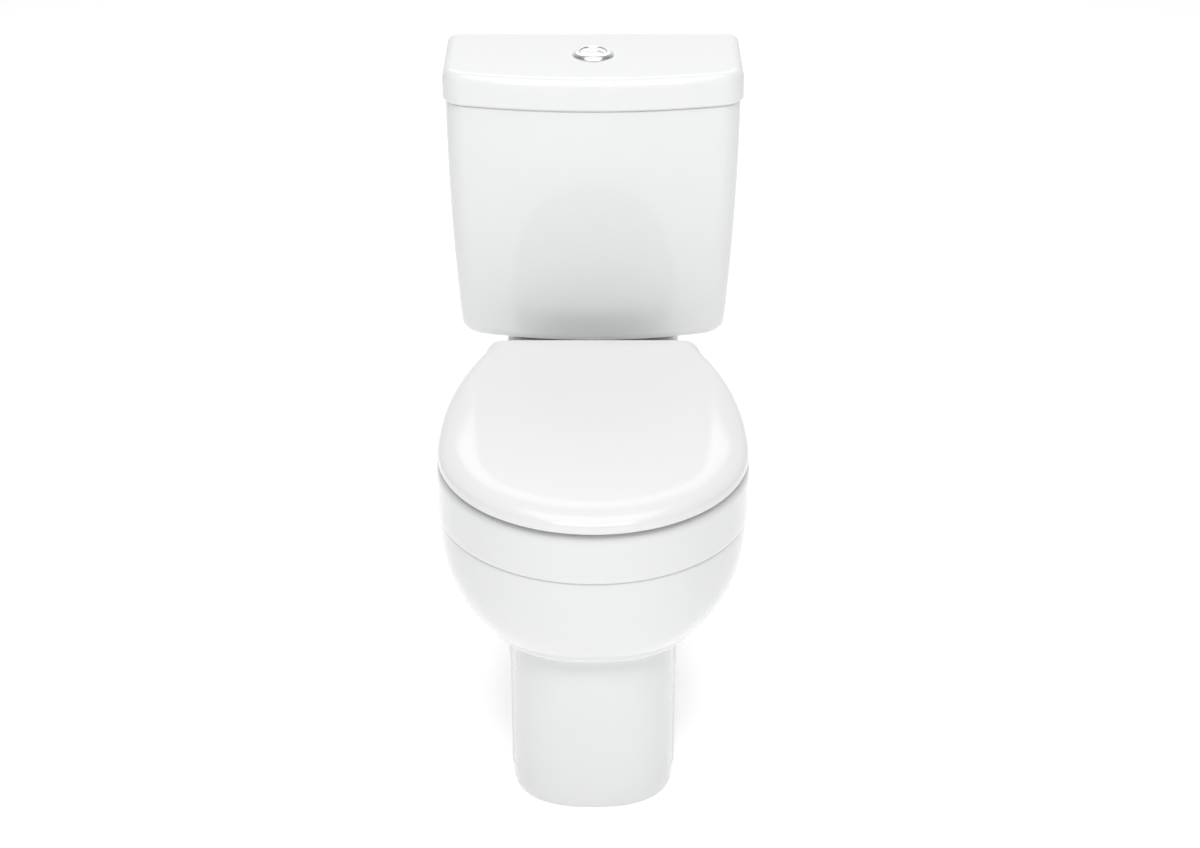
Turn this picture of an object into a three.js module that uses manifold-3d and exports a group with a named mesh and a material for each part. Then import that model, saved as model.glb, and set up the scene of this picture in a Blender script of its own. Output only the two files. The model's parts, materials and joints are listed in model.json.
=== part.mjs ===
// Close coupled toilet: washdown pan, cistern with a dual flush valve and a bottom inlet fill valve,
// seat and lid.
// Millimetres. +X is to the right of someone facing the toilet, +Y points back to the wall and +Z up.
// The origin is on the floor, at the middle of the footprint. Depths are measured forwards from the wall.
import * as THREE from "three";
import { mergeVertices } from "three/addons/utils/BufferGeometryUtils.js";
import Module from "manifold-3d";

const wasm = await Module();
wasm.setup();

// ---------- Driving dimensions ----------
const projection = 652; // wall to the front of the seat lid
const rim = 406; // top of the pan
const panWidth = 370;
const gap = 0.3; // between pieces that touch
const running = 0.3; // round pins and sliding pieces

const china = { wall: 10, body: 12 };
const pan = {
  widest: projection - 188, front: projection - 4, rearSweep: projection - 329, band: rim - 63, step: 2,
  lip: 218, bead: 3.5, beadHeight: 11, lipWidth: 235, lipFront: projection - 36,
  deckWidth: 224, deckBack: 15, deckThickness: 20, deckCorner: 16, deckLow: rim - 76,
  backRise: 120, rimEdge: 10, backOpening: 160, openingLow: 250, openingReach: 130,
};
const foot = {
  width: 194, front: projection - 46, back: 190, widest: projection - 134,
  squareness: 2.5, sweep: projection + 248,
  taper: 6,
};
const bowl = {
  width: panWidth - 90, back: 272, front: projection - 40, shelf: rim - 20, sumpDepth: 335, sumpWidth: 88,
  sumpFloor: 122,
};
const trap = { bore: 38, wall: 8, outletHeight: 180, outletDepth: 105 };
const horn = { height: 34, wall: 8, duct: 30 };
const flushChannel = { width: 18, height: 28, slot: 5 };

const cisternLift = 6; // from the pan's deck to the bottom of the cistern
const cistern = {
  floor: rim + cisternLift, height: 321, width: 366, taper: 26, depth: 184, depthTaper: 12,
  bow: 28, corner: 24,
  backCorner: 12, edge: 14, screwDrop: 43, screwHole: 4, screwSpacing: 230,
};
const cisternRim = cistern.floor + cistern.height;
const tankLid = { height: 40, overhang: 3.5, edge: 13, plate: 10, ribHeight: 8, ribWall: 5, ribClearance: 3 };
const valveDepth = 90; // wall to the middle of the flush valve, the bolts and the button
const boltSpacing = 150; // close coupling bolts
const inletOffset = cistern.width / 2 - 53; // fill valve, left of the middle

const button = {
  radius: 17.2, flangeWidth: 8.8, dome: 5, sleeveWall: 2, height: 9, split: 0.7, rodRadius: 2.5, boss: 4.4,
};
const rodOffset = button.radius / 2 - 0.6; // push rods, either side of the button's middle
const buttonTravel = 4.5;
const flushValve = {
  spigot: 30, spigotWall: 6, flangeWidth: 10, tail: 30, seatRise: 7, cageHeight: 95, leg: 6, guide: 17,
  overflow: 13, nutWidth: 7,
};
const towerTop = cisternRim - 65;
const overflowTop = cisternRim - 121;
const fillValve = {
  shank: 10.4, bore: 6, flange: 16, tail: 22, riser: 9, top: cisternRim - 33, float: 24, floatHeight: 60,
  pivotRise: 18, pivotBack: 16, leverPin: 1.5, linkRod: 1.8,
};
const floatRest = cisternRim - 173; // bottom of the float in an empty cistern
const floatTravel = 25;

const ring = {
  underside: rim + 9.5, thickness: 11, clearance: 2.5, holeWidth: panWidth - 146, holeBack: 286,
  holeFront: projection - 62, back: 240, sag: 0.65,
};
const ringTop = ring.underside + ring.thickness;
const hinge = {
  depth: 222, height: ringTop - 2.5, spacing: 155, post: 12, postWidth: 16, pin: 3, ear: 12, flange: 13,
};
const seat = {
  width: panWidth - 4, back: 210, skirtBottom: rim + 4, roofGap: 0.5, wall: 6, plate: 5.5, dome: 3,
  noseFall: 7, noseStart: 340, sideFall: 5.5, sideStart: 90, shoulder: 37, narrowing: 170,
  skirt: 8,
};
const innerTop = hinge.height + hinge.post / 2 + seat.roofGap;
const seatTop = innerTop + seat.plate + seat.dome;
const seatBolt = { radius: 3.5, hole: 7, length: 46 };
const buffer = { radius: 8, spread: panWidth / 2 - 33, front: pan.widest + 36, rear: pan.widest - 64 };
const lidBuffer = { radius: 7, spread: panWidth / 2 - 57, depth: pan.widest - 34 };

const sideFixing = {
  depth: 250, height: 28, screw: 3, head: 5.5, cap: 9,
  bracket: 46, thickness: 4, rise: 52, sole: 40, floorHole: 3.5,
};

const round = 16; // facets on small turned pieces
const fine = 20; // facets on the flush valve and the button

// ---------- Materials ----------
const finish = (color, roughness, metalness = 0) =>
  new THREE.MeshStandardMaterial({ color, roughness, metalness });
const glaze = finish(0xf4f6f5, 0.08);
const seatPlastic = finish(0xf6f7f6, 0.15);
const whitePlastic = finish(0xe9ebec, 0.45);
const bluePlastic = finish(0x3f76a8, 0.45);
const chrome = finish(0xd8dadc, 0.08, 1);
const steel = finish(0xb4b7ba, 0.35, 1);
const brass = finish(0xb5965a, 0.35, 1);
const rubber = finish(0x26282a, 0.8);
const foam = finish(0x3a3c3f, 0.95);

// ---------- Geometry helpers ----------
const Y = (depth) => projection / 2 - depth;

// A closed geometry as a solid, whichever way its faces were wound.
function solid(geometry) {
  const bare = geometry.clone();
  for (const name of ["normal", "uv"]) bare.deleteAttribute(name);
  const merged = mergeVertices(bare, 1e-4);
  const vertProperties = merged.getAttribute("position").array;
  const triVerts = new Uint32Array(merged.index.array);
  const made = new wasm.Manifold(new wasm.Mesh({ numProp: 3, vertProperties, triVerts }));
  if (made.volume() > 0) return made;
  const reversed = triVerts.slice().reverse();
  return new wasm.Manifold(new wasm.Mesh({ numProp: 3, vertProperties, triVerts: reversed }));
}

const parts = new THREE.Group();

function piece(name, shape, material) {
  const found = shape.getMesh();
  const geometry = new THREE.BufferGeometry();
  geometry.setAttribute("position", new THREE.BufferAttribute(new Float32Array(found.vertProperties), 3));
  geometry.setIndex(new THREE.BufferAttribute(new Uint32Array(found.triVerts), 1));
  geometry.computeVertexNormals();
  const mesh = new THREE.Mesh(geometry, material);
  mesh.name = name;
  parts.add(mesh);
}

const sides = [["left", -1], ["right", 1]];

// Skins a stack of outlines, each with the same number of points, and closes both ends. A level may sag
// away from its height by a function of the point.
const level = () => 0;
function loft(levels) {
  const count = levels[0].outline.length;
  const points = [];
  for (const { z, outline, sag = level } of levels) {
    for (const p of outline) points.push(p.x, Y(p.y), z - sag(p));
  }
  const faces = [];
  for (let k = 0; k + 1 < levels.length; k++)
    for (let i = 0; i < count; i++) {
      const a = k * count + i;
      const b = k * count + ((i + 1) % count);
      faces.push(a, b, a + count, b, b + count, a + count);
    }
  const top = (levels.length - 1) * count;
  for (const [a, b, c] of THREE.ShapeUtils.triangulateShape(levels[0].outline, [])) faces.push(c, b, a);
  const lid = THREE.ShapeUtils.triangulateShape(levels.at(-1).outline, []);
  for (const [a, b, c] of lid) faces.push(top + a, top + b, top + c);
  const geometry = new THREE.BufferGeometry();
  geometry.setAttribute("position", new THREE.Float32BufferAttribute(points, 3));
  geometry.setIndex(faces);
  return solid(geometry);
}

// A turned piece standing on its own axis at (x, depth): its section is a closed loop of radius and height.
function turned(section, x = 0, depth = 0, facets = round) {
  const loop = [...section, section[0]].map(([r, z]) => new THREE.Vector2(r, z));
  const geometry = new THREE.LatheGeometry(loop, facets).rotateX(Math.PI / 2);
  return solid(geometry.translate(x, Y(depth), 0));
}

const pipe = (outer, inner, low, high, x, depth, facets) =>
  turned([[inner, low], [outer, low], [outer, high], [inner, high]], x, depth, facets);

function rod(radius, low, high, x, depth, facets = round) {
  const geometry = new THREE.CylinderGeometry(radius, radius, high - low, facets).rotateX(Math.PI / 2);
  return solid(geometry.translate(x, Y(depth), (low + high) / 2));
}

function crossRod(radius, from, to, depth, z, facets = round) {
  const geometry = new THREE.CylinderGeometry(radius, radius, to - from, facets).rotateZ(Math.PI / 2);
  return solid(geometry.translate((from + to) / 2, Y(depth), z));
}

function box(x0, x1, depth0, depth1, z0, z1) {
  const geometry = new THREE.BoxGeometry(x1 - x0, depth1 - depth0, z1 - z0);
  return solid(geometry.translate((x0 + x1) / 2, Y((depth0 + depth1) / 2), (z0 + z1) / 2));
}

// A nut or knob with two wings, turned by hand.
const wingNutHeight = 9;
function wingNut(bore, low, x, depth) {
  const hub = pipe(bore + 4, bore, low, low + wingNutHeight, x, depth, 12);
  const wings = box(x - bore - 9, x + bore + 9, depth - 1.5, depth + 1.5, low + 1, low + 8);
  return hub.add(wings).subtract(rod(bore, low - 1, low + 10, x, depth, 12));
}

function hexNut(bore, acrossFlats, low, high, x, depth, facets = round) {
  const hole = rod(bore, low - 1, high + 1, x, depth, facets);
  return rod(acrossFlats / Math.sqrt(3), low, high, x, depth, 6).subtract(hole);
}

// ---------- Outlines, seen from above: x across, y the depth from the wall ----------

// A tank outline: flat back, straight sides, rounded corners and a bowed front.
function tankOutline(width, depth, inset, back = 0) {
  const half = width / 2 - inset;
  const front = depth - inset;
  const near = back + inset;
  const backR = Math.max(cistern.backCorner - inset, 2);
  const frontR = Math.max(cistern.corner - inset, 6);
  const bowAt = (x) => front - cistern.bow * (x / (width / 2)) ** 2;
  const side = bowAt(half);
  const inner = half - frontR;
  const shape = new THREE.Shape();
  shape.moveTo(-half + backR, near);
  shape.lineTo(half - backR, near);
  shape.quadraticCurveTo(half, near, half, near + backR);
  shape.lineTo(half, side - frontR);
  shape.quadraticCurveTo(half, side, inner, bowAt(inner));
  shape.quadraticCurveTo(0, 2 * front - bowAt(inner), -inner, bowAt(inner));
  shape.quadraticCurveTo(-half, side, -half, side - frontR);
  shape.lineTo(-half, near + backR);
  shape.quadraticCurveTo(-half, near, -half + backR, near);
  return shape.getPoints(6).slice(0, -1);
}

// Half the width of an egg shape at a depth: a rounded front and a longer rear sweep.
function eggHalf(depth, half, widest, front, rearSweep, squareness = 2) {
  const t = depth > widest ? (depth - widest) / (front - widest) : (widest - depth) / rearSweep;
  const power = depth > widest ? squareness : 2;
  return half * Math.max(0, 1 - Math.min(t, 1) ** power) ** (1 / power);
}

// A mirrored outline from a half-width function, with points crowded towards the front and back.
function mirrored(halfAt, back, front, count) {
  const right = [];
  for (let i = 0; i < count; i++) {
    const depth = back + ((front - back) * (1 - Math.cos((Math.PI * i) / count))) / 2;
    right.push(new THREE.Vector2(halfAt(depth), depth));
  }
  const left = right.map((p) => new THREE.Vector2(-p.x, p.y)).reverse();
  return [...right, new THREE.Vector2(0, front), ...left];
}

// The seat's outline, drawn in by an inset and by a reach that is shorter towards the hinges.
function seatOutline(inset, backInset = inset, reach = 0) {
  const front = projection - inset - reach;
  const halfAt = (d) => {
    const drawn = inset + reach * mix(0.3, 1, clamp01((d - seat.back) / seat.narrowing));
    return eggHalf(d, seat.width / 2 - drawn, pan.widest, front, pan.rearSweep - drawn);
  };
  return mirrored(halfAt, seat.back + backInset, front, 16);
}

const mix = (a, b, t) => a + (b - a) * t;
const clamp01 = (t) => Math.min(1, Math.max(0, t));

// The outside of the pan at a height: an upright band, a bowl that tucks in to a lip, and a pedestal below it.
function panOutline(z, inset = 0) {
  const tuck = clamp01((pan.band - z) / (pan.band - pan.lip));
  const below = z < pan.lip;
  const step = z < pan.band ? pan.step : 0;
  const drawnIn = (tuck ** 2.9 + 1 - Math.sqrt(1 - tuck ** 2)) / 2;
  const half = below ? foot.width / 2 : mix(panWidth / 2 - step, pan.lipWidth / 2, drawnIn);
  const front = below ? foot.front : mix(pan.front - step, pan.lipFront, tuck ** 3);
  const widest = below ? foot.widest : pan.widest;
  const squareness = below ? foot.squareness : 2 + 0.5 * tuck;
  const rise = clamp01((z - pan.backRise) / (pan.deckLow - pan.backRise)) ** 1.5;
  const back = mix(foot.back, pan.deckBack, rise) + inset;
  const deckHalf = mix(foot.width / 2 - foot.taper, pan.deckWidth / 2, rise) - inset;
  const sweep = below ? foot.sweep : pan.rearSweep;
  const corner = pan.deckCorner;
  const halfAt = (d) => {
    const egg = eggHalf(d, half - inset, widest, front - inset, sweep - inset, squareness);
    if (d > widest) return egg;
    const into = Math.min(corner, d - back);
    const deck = deckHalf - corner + Math.sqrt(corner ** 2 - (corner - into) ** 2);
    return Math.max(egg * (into === corner ? 1 : 0), deck);
  };
  return mirrored(halfAt, back, front - inset, 17);
}

// The inside of the bowl at a height, wide at the rim and narrow at the sump.
function bowlOutline(z, outset = 0) {
  const t = clamp01((z - bowl.sumpFloor) / (bowl.shelf - bowl.sumpFloor));
  const half = mix(bowl.sumpWidth / 2, bowl.width / 2, t ** 0.72) + outset;
  const rimMiddle = (bowl.front + bowl.back) / 2;
  const middle = mix(bowl.sumpDepth, rimMiddle, t ** 1.1);
  const reach = mix(bowl.sumpWidth / 2, (bowl.front - bowl.back) / 2, t ** 0.8) + outset;
  return mirrored((d) => eggHalf(d, half, middle, middle + reach, reach), middle - reach, middle + reach, 12);
}

const stack = (heights, outline) => loft(heights.map((z) => ({ z, outline: outline(z) })));

// ---------- Pan ----------
function trapTube(radius) {
  const low = bowl.sumpFloor + trap.bore - 22;
  const route = [
    [bowl.sumpDepth - 8, low + 8], [bowl.sumpDepth - 42, low - 8], [bowl.sumpDepth - 78, low + 22],
    [bowl.sumpDepth - 104, low + 66], [bowl.sumpDepth - 134, trap.outletHeight + 24],
    [bowl.sumpDepth - 170, trap.outletHeight + 6], [trap.outletDepth - 12, trap.outletHeight],
  ];
  const curve = new THREE.CatmullRomCurve3(route.map(([d, z]) => new THREE.Vector3(0, Y(d), z)));
  const circle = new THREE.Shape().absarc(0, 0, radius, 0, 2 * Math.PI);
  const options = { steps: 14, curveSegments: 7, bevelEnabled: false, extrudePath: curve };
  return solid(new THREE.ExtrudeGeometry(circle, options));
}

// The flushing water's way: a hole under the cistern, a chamber and a duct to the rim.
const backnutRadius = (2 * (flushValve.spigot + flushValve.nutWidth)) / Math.sqrt(3);
const hornHole = backnutRadius + 1.3;

function hornWay(grow) {
  const top = rim - china.body;
  const low = top - horn.height - grow;
  const half = hornHole + 1 + grow;
  const chamber = box(-half, half, valveDepth - half, valveDepth + half, low, top + grow / 4);
  const side = horn.duct + grow;
  const duct = box(-side, side, valveDepth, bowl.back + china.body, low + 4, top + grow / 4);
  return chamber.add(duct);
}

function flushRing() {
  const top = rim - china.body;
  const low = top - flushChannel.height;
  const outer = stack([low, top], () => bowlOutline(rim, china.wall + flushChannel.width));
  const inner = stack([low - 1, top + 1], () => bowlOutline(rim, china.wall));
  const slotOuter = stack([low, low + flushChannel.slot], () => bowlOutline(rim, china.wall + 1));
  return outer.subtract(inner).add(slotOuter);
}

// What the casting leaves out: the space round the bowl, the trap and the flushing water's way.
function panHollow(spigot) {
  const heights = [bowl.sumpFloor - 10, 150, 200, 260, rim - 86, rim - 44];
  const bowlOuter = stack(heights, (z) => bowlOutline(z, china.wall));
  const levels = [-1, pan.backRise, 160, 205, pan.lip + 6, 240, 262, 300, rim - 49];
  const low = stack(levels, (z) => panOutline(Math.max(z, 0), china.body));
  const side = pan.deckWidth / 2 - china.body;
  const under = rim - pan.deckThickness;
  const deck = box(-side, side, pan.deckBack + china.body, 236, pan.deckLow, under);
  const opening = box(-pan.backOpening / 2, pan.backOpening / 2, 0, pan.openingReach, pan.openingLow, under);
  return low.add(deck).add(opening).subtract(bowlOuter).subtract(spigot).subtract(hornWay(horn.wall));
}

function makePan() {
  const skirt = [0, pan.backRise, 150, 180, 205, pan.lip - 0.2];
  const fall = pan.band - pan.lip;
  const beadShape = [[0, 0.3], [0.3, 1], [0.65, 0.7], [1, 0]];
  const bead = beadShape.map(([t, out]) => [pan.lip + t * pan.beadHeight, -out * pan.bead]);
  const tucks = [0.152, 0.272, 0.448, 0.688, 1].map((t) => [pan.lip + t * fall, 0]);
  const rounding = [[4, 0.2], [1.2, 0.5], [0, 1]].map(([drop, t]) => [rim - drop, t * pan.rimEdge]);
  const upper = [[pan.band + 1, 0], [rim - 9, 0], ...rounding];
  const levels = [...skirt.map((z) => [z, 0]), ...bead, ...tucks, ...upper];
  const outer = loft(levels.map(([z, inset]) => ({ z, outline: panOutline(z, inset) })));
  const clear = trap.bore + trap.wall + 14;
  const middle = trap.outletHeight;
  const square = box(-clear, clear, clear, trap.outletDepth, middle - clear, middle + clear);
  const spigot = trapTube(trap.bore + trap.wall).subtract(square);
  const cavity = stack([bowl.sumpFloor, 135, 160, 200, 260, 320, bowl.shelf, rim + 1], (z) => bowlOutline(z));
  const hollow = panHollow(spigot);
  let shape = outer.add(spigot).subtract(hollow).subtract(cavity).subtract(trapTube(trap.bore));
  const flushHole = rod(hornHole, rim - china.body - 4, rim + 5, 0, valveDepth, fine);
  shape = shape.subtract(hornWay(0)).subtract(flushHole).subtract(flushRing());
  for (const [, s] of sides) {
    const wall = [foot.width / 2 - 37, foot.width / 2 + 23];
    const [from, to] = s > 0 ? wall : wall.map((x) => -x).reverse();
    shape = shape.subtract(rod(5, rim - 106, rim + 5, (s * boltSpacing) / 2, valveDepth, 12));
    shape = shape.subtract(rod(seatBolt.hole, pan.deckLow, rim + 5, (s * hinge.spacing) / 2, hinge.depth, 12));
    const screwWay = crossRod(sideFixing.screw + 0.6, from, to, sideFixing.depth, sideFixing.height, 10);
    shape = shape.subtract(screwWay);
  }
  piece("pan", shape, glaze);
}

// ---------- Floor fixings ----------
function makeSideFixings() {
  const at = panOutline(sideFixing.height).filter((p) => p.x > 0);
  const away = (p) => Math.abs(p.y - sideFixing.depth);
  const near = at.reduce((a, b) => (away(b) < away(a) ? b : a));
  const face = near.x;
  const { depth, height, screw, cap, thickness } = sideFixing;
  for (const [side, s] of sides) {
    const inner = face - china.body - 1.5;
    const span = (a, b) => (s > 0 ? [a, b] : [-b, -a]);
    const halfLength = sideFixing.bracket / 2;
    const [d0, d1] = [depth - halfLength, depth + halfLength];
    const upright = box(...span(inner - thickness, inner), d0, d1, 0, sideFixing.rise);
    const sole = box(...span(inner - sideFixing.sole, inner), d0, d1, 0, thickness);
    const hole = crossRod(screw + running, ...span(inner - 12, inner + 2), depth, height, 10);
    const floorHole = rod(sideFixing.floorHole, -1, 8, s * (inner - 24), depth, 10);
    piece(`floor_bracket_${side}`, upright.add(sole).subtract(hole).subtract(floorHole), whitePlastic);
    const shank = crossRod(screw, ...span(inner - 16, face + 1.2), depth, height, 10);
    const head = crossRod(sideFixing.head, ...span(face + 0.7, face + 3), depth, height, 10);
    piece(`side_screw_${side}`, shank.add(head), steel);
    const dome = crossRod(cap, ...span(face + 0.9, face + 5), depth, height, 16);
    const recess = crossRod(sideFixing.head + 0.7, ...span(face - 1, face + 3.6), depth, height, 12);
    piece(`screw_cap_${side}`, dome.subtract(recess), whitePlastic);
  }
}

// ---------- Cistern ----------
const fallen = (z) => ((cisternRim - z) / cistern.height) ** 2;
function tankAt(z, inset) {
  const width = cistern.width - cistern.taper * fallen(z);
  return tankOutline(width, cistern.depth - cistern.depthTaper * fallen(z), inset);
}
const tankFloor = cistern.floor + china.wall;

function makeCistern() {
  const edgeInset = { 0: cistern.edge, 2: 8, 6: 3, [cistern.edge]: 0 };
  const heights = [0, 2, 6, cistern.edge, 60, 120, 190, 260, cistern.height];
  const level = (h) => ({ z: cistern.floor + h, outline: tankAt(cistern.floor + h, edgeInset[h] ?? 0) });
  const outer = loft(heights.map(level));
  const wall = china.wall - 1;
  const inside = [0, 8, 50, 110, 180, 250, cistern.height + 2 - china.wall].map((h) => tankFloor + h);
  const cavity = stack(inside, (z) => tankAt(z, z === tankFloor ? wall + 7 : wall));
  let shape = outer.subtract(cavity);
  const through = [cistern.floor - 2, tankFloor + 2];
  shape = shape.subtract(rod(flushValve.spigot + 1, ...through, 0, valveDepth, fine));
  shape = shape.subtract(rod(fillValve.shank + 1, ...through, -inletOffset, valveDepth));
  const screwHeight = cisternRim - cistern.screwDrop;
  const upright = rod(cistern.screwHole, -2, china.wall + 2, 0, 0, 12);
  const acrossBack = upright.translate([0, -Y(0), 0]).rotate([90, 0, 0]);
  for (const [, s] of sides) {
    shape = shape.subtract(rod(5, ...through, (s * boltSpacing) / 2, valveDepth, 12));
    shape = shape.subtract(acrossBack.translate([(s * cistern.screwSpacing) / 2, Y(0), screwHeight]));
  }
  piece("cistern_body", shape, glaze);
}

const lidLow = cisternRim + gap;
const lidTop = lidLow + tankLid.height;
const lidWidth = cistern.width + 2 * tankLid.overhang;
const lidDepth = cistern.depth + tankLid.overhang;

function makeTankLid() {
  const e = tankLid.edge;
  const rounding = [[1, 0], [0.7, 0.05], [0.35, 0.24], [0.1, 0.56], [0, 1]];
  const rounded = rounding.map(([drop, inset]) => [lidTop - drop * e, inset * e]);
  const levels = [[lidLow, 1.5], [lidLow + 2, 0], ...rounded];
  const outer = loft(levels.map(([z, inset]) => ({ z, outline: tankOutline(lidWidth, lidDepth, inset) })));
  const ribOutset = tankLid.overhang + china.wall - 1 + tankLid.ribClearance;
  const ribLow = lidLow - tankLid.ribHeight;
  const rib = stack([ribLow, lidLow + 6], () => tankOutline(lidWidth, lidDepth, ribOutset));
  const insideOutset = ribOutset + tankLid.ribWall;
  const insidePlan = () => tankOutline(lidWidth, lidDepth, insideOutset);
  const inside = stack([ribLow - 1, lidTop - tankLid.plate], insidePlan);
  const hole = rod(button.radius + button.sleeveWall + 1.3, lidTop - 20, lidTop + 5, 0, valveDepth, fine);
  piece("cistern_lid", outer.add(rib).subtract(inside).subtract(hole), glaze);
}

// ---------- Buttons ----------
const splitAngle = (150 * Math.PI) / 180;

// One of the two buttons, seen from above: the two share an S-shaped split.
function buttonShape(sign) {
  const r = button.radius - running;
  const g = (sign * button.split) / 2;
  const dir = new THREE.Vector2(Math.cos(splitAngle), Math.sin(splitAngle));
  const across = new THREE.Vector2(dir.y, -dir.x);
  const at = (along, side) => dir.clone().multiplyScalar(along).addScaledVector(across, side + g);
  const start = at(-r * 0.995, 0);
  const end = at(r * 0.995, 0);
  const shape = new THREE.Shape();
  const a0 = Math.atan2(start.y, start.x);
  const a1 = Math.atan2(end.y, end.x);
  shape.absarc(0, 0, r, a0, a1, sign < 0);
  const c1 = at(r * 0.45, 6);
  const c2 = at(-r * 0.45, -6);
  shape.bezierCurveTo(c1.x, c1.y, c2.x, c2.y, start.x, start.y);
  return shape;
}

// Where a push rod stands, in x and depth.
function rodAt(sign) {
  const out = sign * rodOffset;
  return [Math.sin(splitAngle) * out, valveDepth + Math.cos(splitAngle) * out];
}

function makeButtons() {
  const sleeveOuter = button.radius + button.sleeveWall;
  const tail = lidTop - tankLid.plate - 14;
  const d = button.dome;
  const flange = button.radius + button.flangeWidth;
  const section = [
    [button.radius, tail], [sleeveOuter, tail], [sleeveOuter, lidTop + gap], [flange, lidTop + gap],
    [flange, lidTop + 0.3 * d], [flange - 1.5, lidTop + 0.7 * d], [flange - 4.5, lidTop + d],
    [button.radius + 1.5, lidTop + d], [button.radius, lidTop + 0.7 * d],
  ];
  piece("button_bezel", turned(section, 0, valveDepth, fine), chrome);
  const nutTop = lidTop - tankLid.plate - gap;
  const nut = hexNut(sleeveOuter + running, 2 * sleeveOuter + 11.6, nutTop - 8, nutTop, 0, valveDepth, fine);
  piece("bezel_nut", nut, whitePlastic);
  const top = lidTop + 0.6 * d;
  for (const [name, sign] of [["full_flush", 1], ["half_flush", -1]]) {
    const options = { depth: button.height, bevelEnabled: false, curveSegments: 10 };
    const cap = new THREE.ExtrudeGeometry(buttonShape(sign), options);
    cap.translate(0, Y(valveDepth), top - button.height);
    const [x, depth] = rodAt(sign);
    const under = top - button.height;
    const boss = pipe(button.boss, button.rodRadius + running, under - 10, under + 1, x, depth, 12);
    const socket = rod(button.rodRadius + running, under - 1, top - 3, x, depth, 12);
    piece(`${name}_button`, solid(cap).add(boss).subtract(socket), chrome);
    const pushRod = rod(button.rodRadius, actuatorTop + 0.6, top - 3 - gap, x, depth, 12);
    piece(`${name}_push_rod`, pushRod, whitePlastic);
    const stem = rod(4.5, towerTop - 24, actuatorTop - 1, x, depth, 12);
    const plunger = stem.add(rod(6.6, actuatorTop - actuatorHead, actuatorTop, x, depth, 12));
    piece(`${name}_actuator`, plunger, bluePlastic);
  }
}

// ---------- Flush valve ----------
const flangeLow = tankFloor + 3 + 2 * gap;
const valveSeat = flangeLow + flushValve.seatRise;
const cageTop = valveSeat + flushValve.cageHeight;
const actuatorHead = 4;
const actuatorTop = towerTop + actuatorHead + buttonTravel + 1;

const valveBore = flushValve.spigot - flushValve.spigotWall;
const valveFlange = flushValve.spigot + flushValve.flangeWidth;

function makeValveCage() {
  const { spigot, tail } = flushValve;
  const low = cistern.floor - tail;
  const section = [
    [valveBore, low], [spigot, low], [spigot, flangeLow], [valveFlange, flangeLow],
    [valveFlange, flangeLow + 3], [spigot, flangeLow + 3], [spigot, valveSeat], [valveBore, valveSeat],
  ];
  let cage = turned(section, 0, valveDepth, fine);
  cage = cage.add(pipe(valveFlange - 1, valveFlange - 9, cageTop - 8, cageTop, 0, valveDepth, fine));
  const legOffset = 0.628 * (valveFlange - 1);
  const half = flushValve.leg / 2;
  for (const [sx, sy] of [[1, 1], [1, -1], [-1, 1], [-1, -1]]) {
    const [x, d] = [sx * legOffset, valveDepth + sy * legOffset];
    cage = cage.add(box(x - half, x + half, d - half, d + half, flangeLow + 1, cageTop - 1));
  }
  piece("valve_cage", cage, whitePlastic);
}

function makeValveTower() {
  const { guide } = flushValve;
  const low = cageTop + gap;
  let tower = pipe(guide + 3.5, guide, low, towerTop, 0, valveDepth, fine);
  tower = tower.add(pipe(valveFlange - 4, guide, low, cageTop + 4, 0, valveDepth, fine));
  tower = tower.add(rod(valveFlange - 14, towerTop - 6, towerTop, 0, valveDepth, fine));
  for (const sign of [1, -1]) {
    const well = rod(4.5 + running, towerTop - 20, towerTop + 5, ...rodAt(sign), 12);
    tower = tower.subtract(well);
  }
  for (const rise of [20, 62]) {
    const slotLow = cageTop + rise;
    tower = tower.subtract(box(-8, 8, valveDepth - 30, valveDepth + 30, slotLow, slotLow + 26));
  }
  piece("valve_tower", tower, bluePlastic);
}

function makeFlushValve() {
  const { spigot, overflow, nutWidth } = flushValve;
  makeValveCage();
  makeValveTower();
  const sealTop = valveSeat + 4;
  const tube = overflow + 2.5;
  const section = [
    [overflow, sealTop], [spigot - 2, sealTop], [spigot - 2, sealTop + 3], [tube, sealTop + 3],
    [tube, overflowTop], [overflow, overflowTop],
  ];
  piece("lifting_piston", turned(section, 0, valveDepth), whitePlastic);
  piece("piston_seal", pipe(spigot - 1, overflow + 1, valveSeat + gap, sealTop - gap, 0, valveDepth), rubber);
  const washer = pipe(valveFlange + 2, spigot + 0.8, tankFloor + gap, flangeLow - gap, 0, valveDepth, fine);
  piece("valve_floor_washer", washer, rubber);
  const nutTop = cistern.floor - gap;
  const nut = hexNut(spigot + running, 2 * (spigot + nutWidth), nutTop - 12, nutTop, 0, valveDepth, fine);
  piece("valve_backnut", nut, whitePlastic);
  const bore = backnutRadius + 3.3;
  piece("coupling_doughnut", pipe(bore + 10, bore, rim + gap, nutTop, 0, valveDepth, fine), foam);
}

// ---------- Fill valve ----------
const linkRadius = fillValve.float - 3;
const leverReach = linkRadius + fillValve.pivotBack;
const leverThickness = 4;
// The lever swings as far above level as it hangs below.
const leverDroop = Math.asin(floatTravel / 2 / leverReach);

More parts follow.
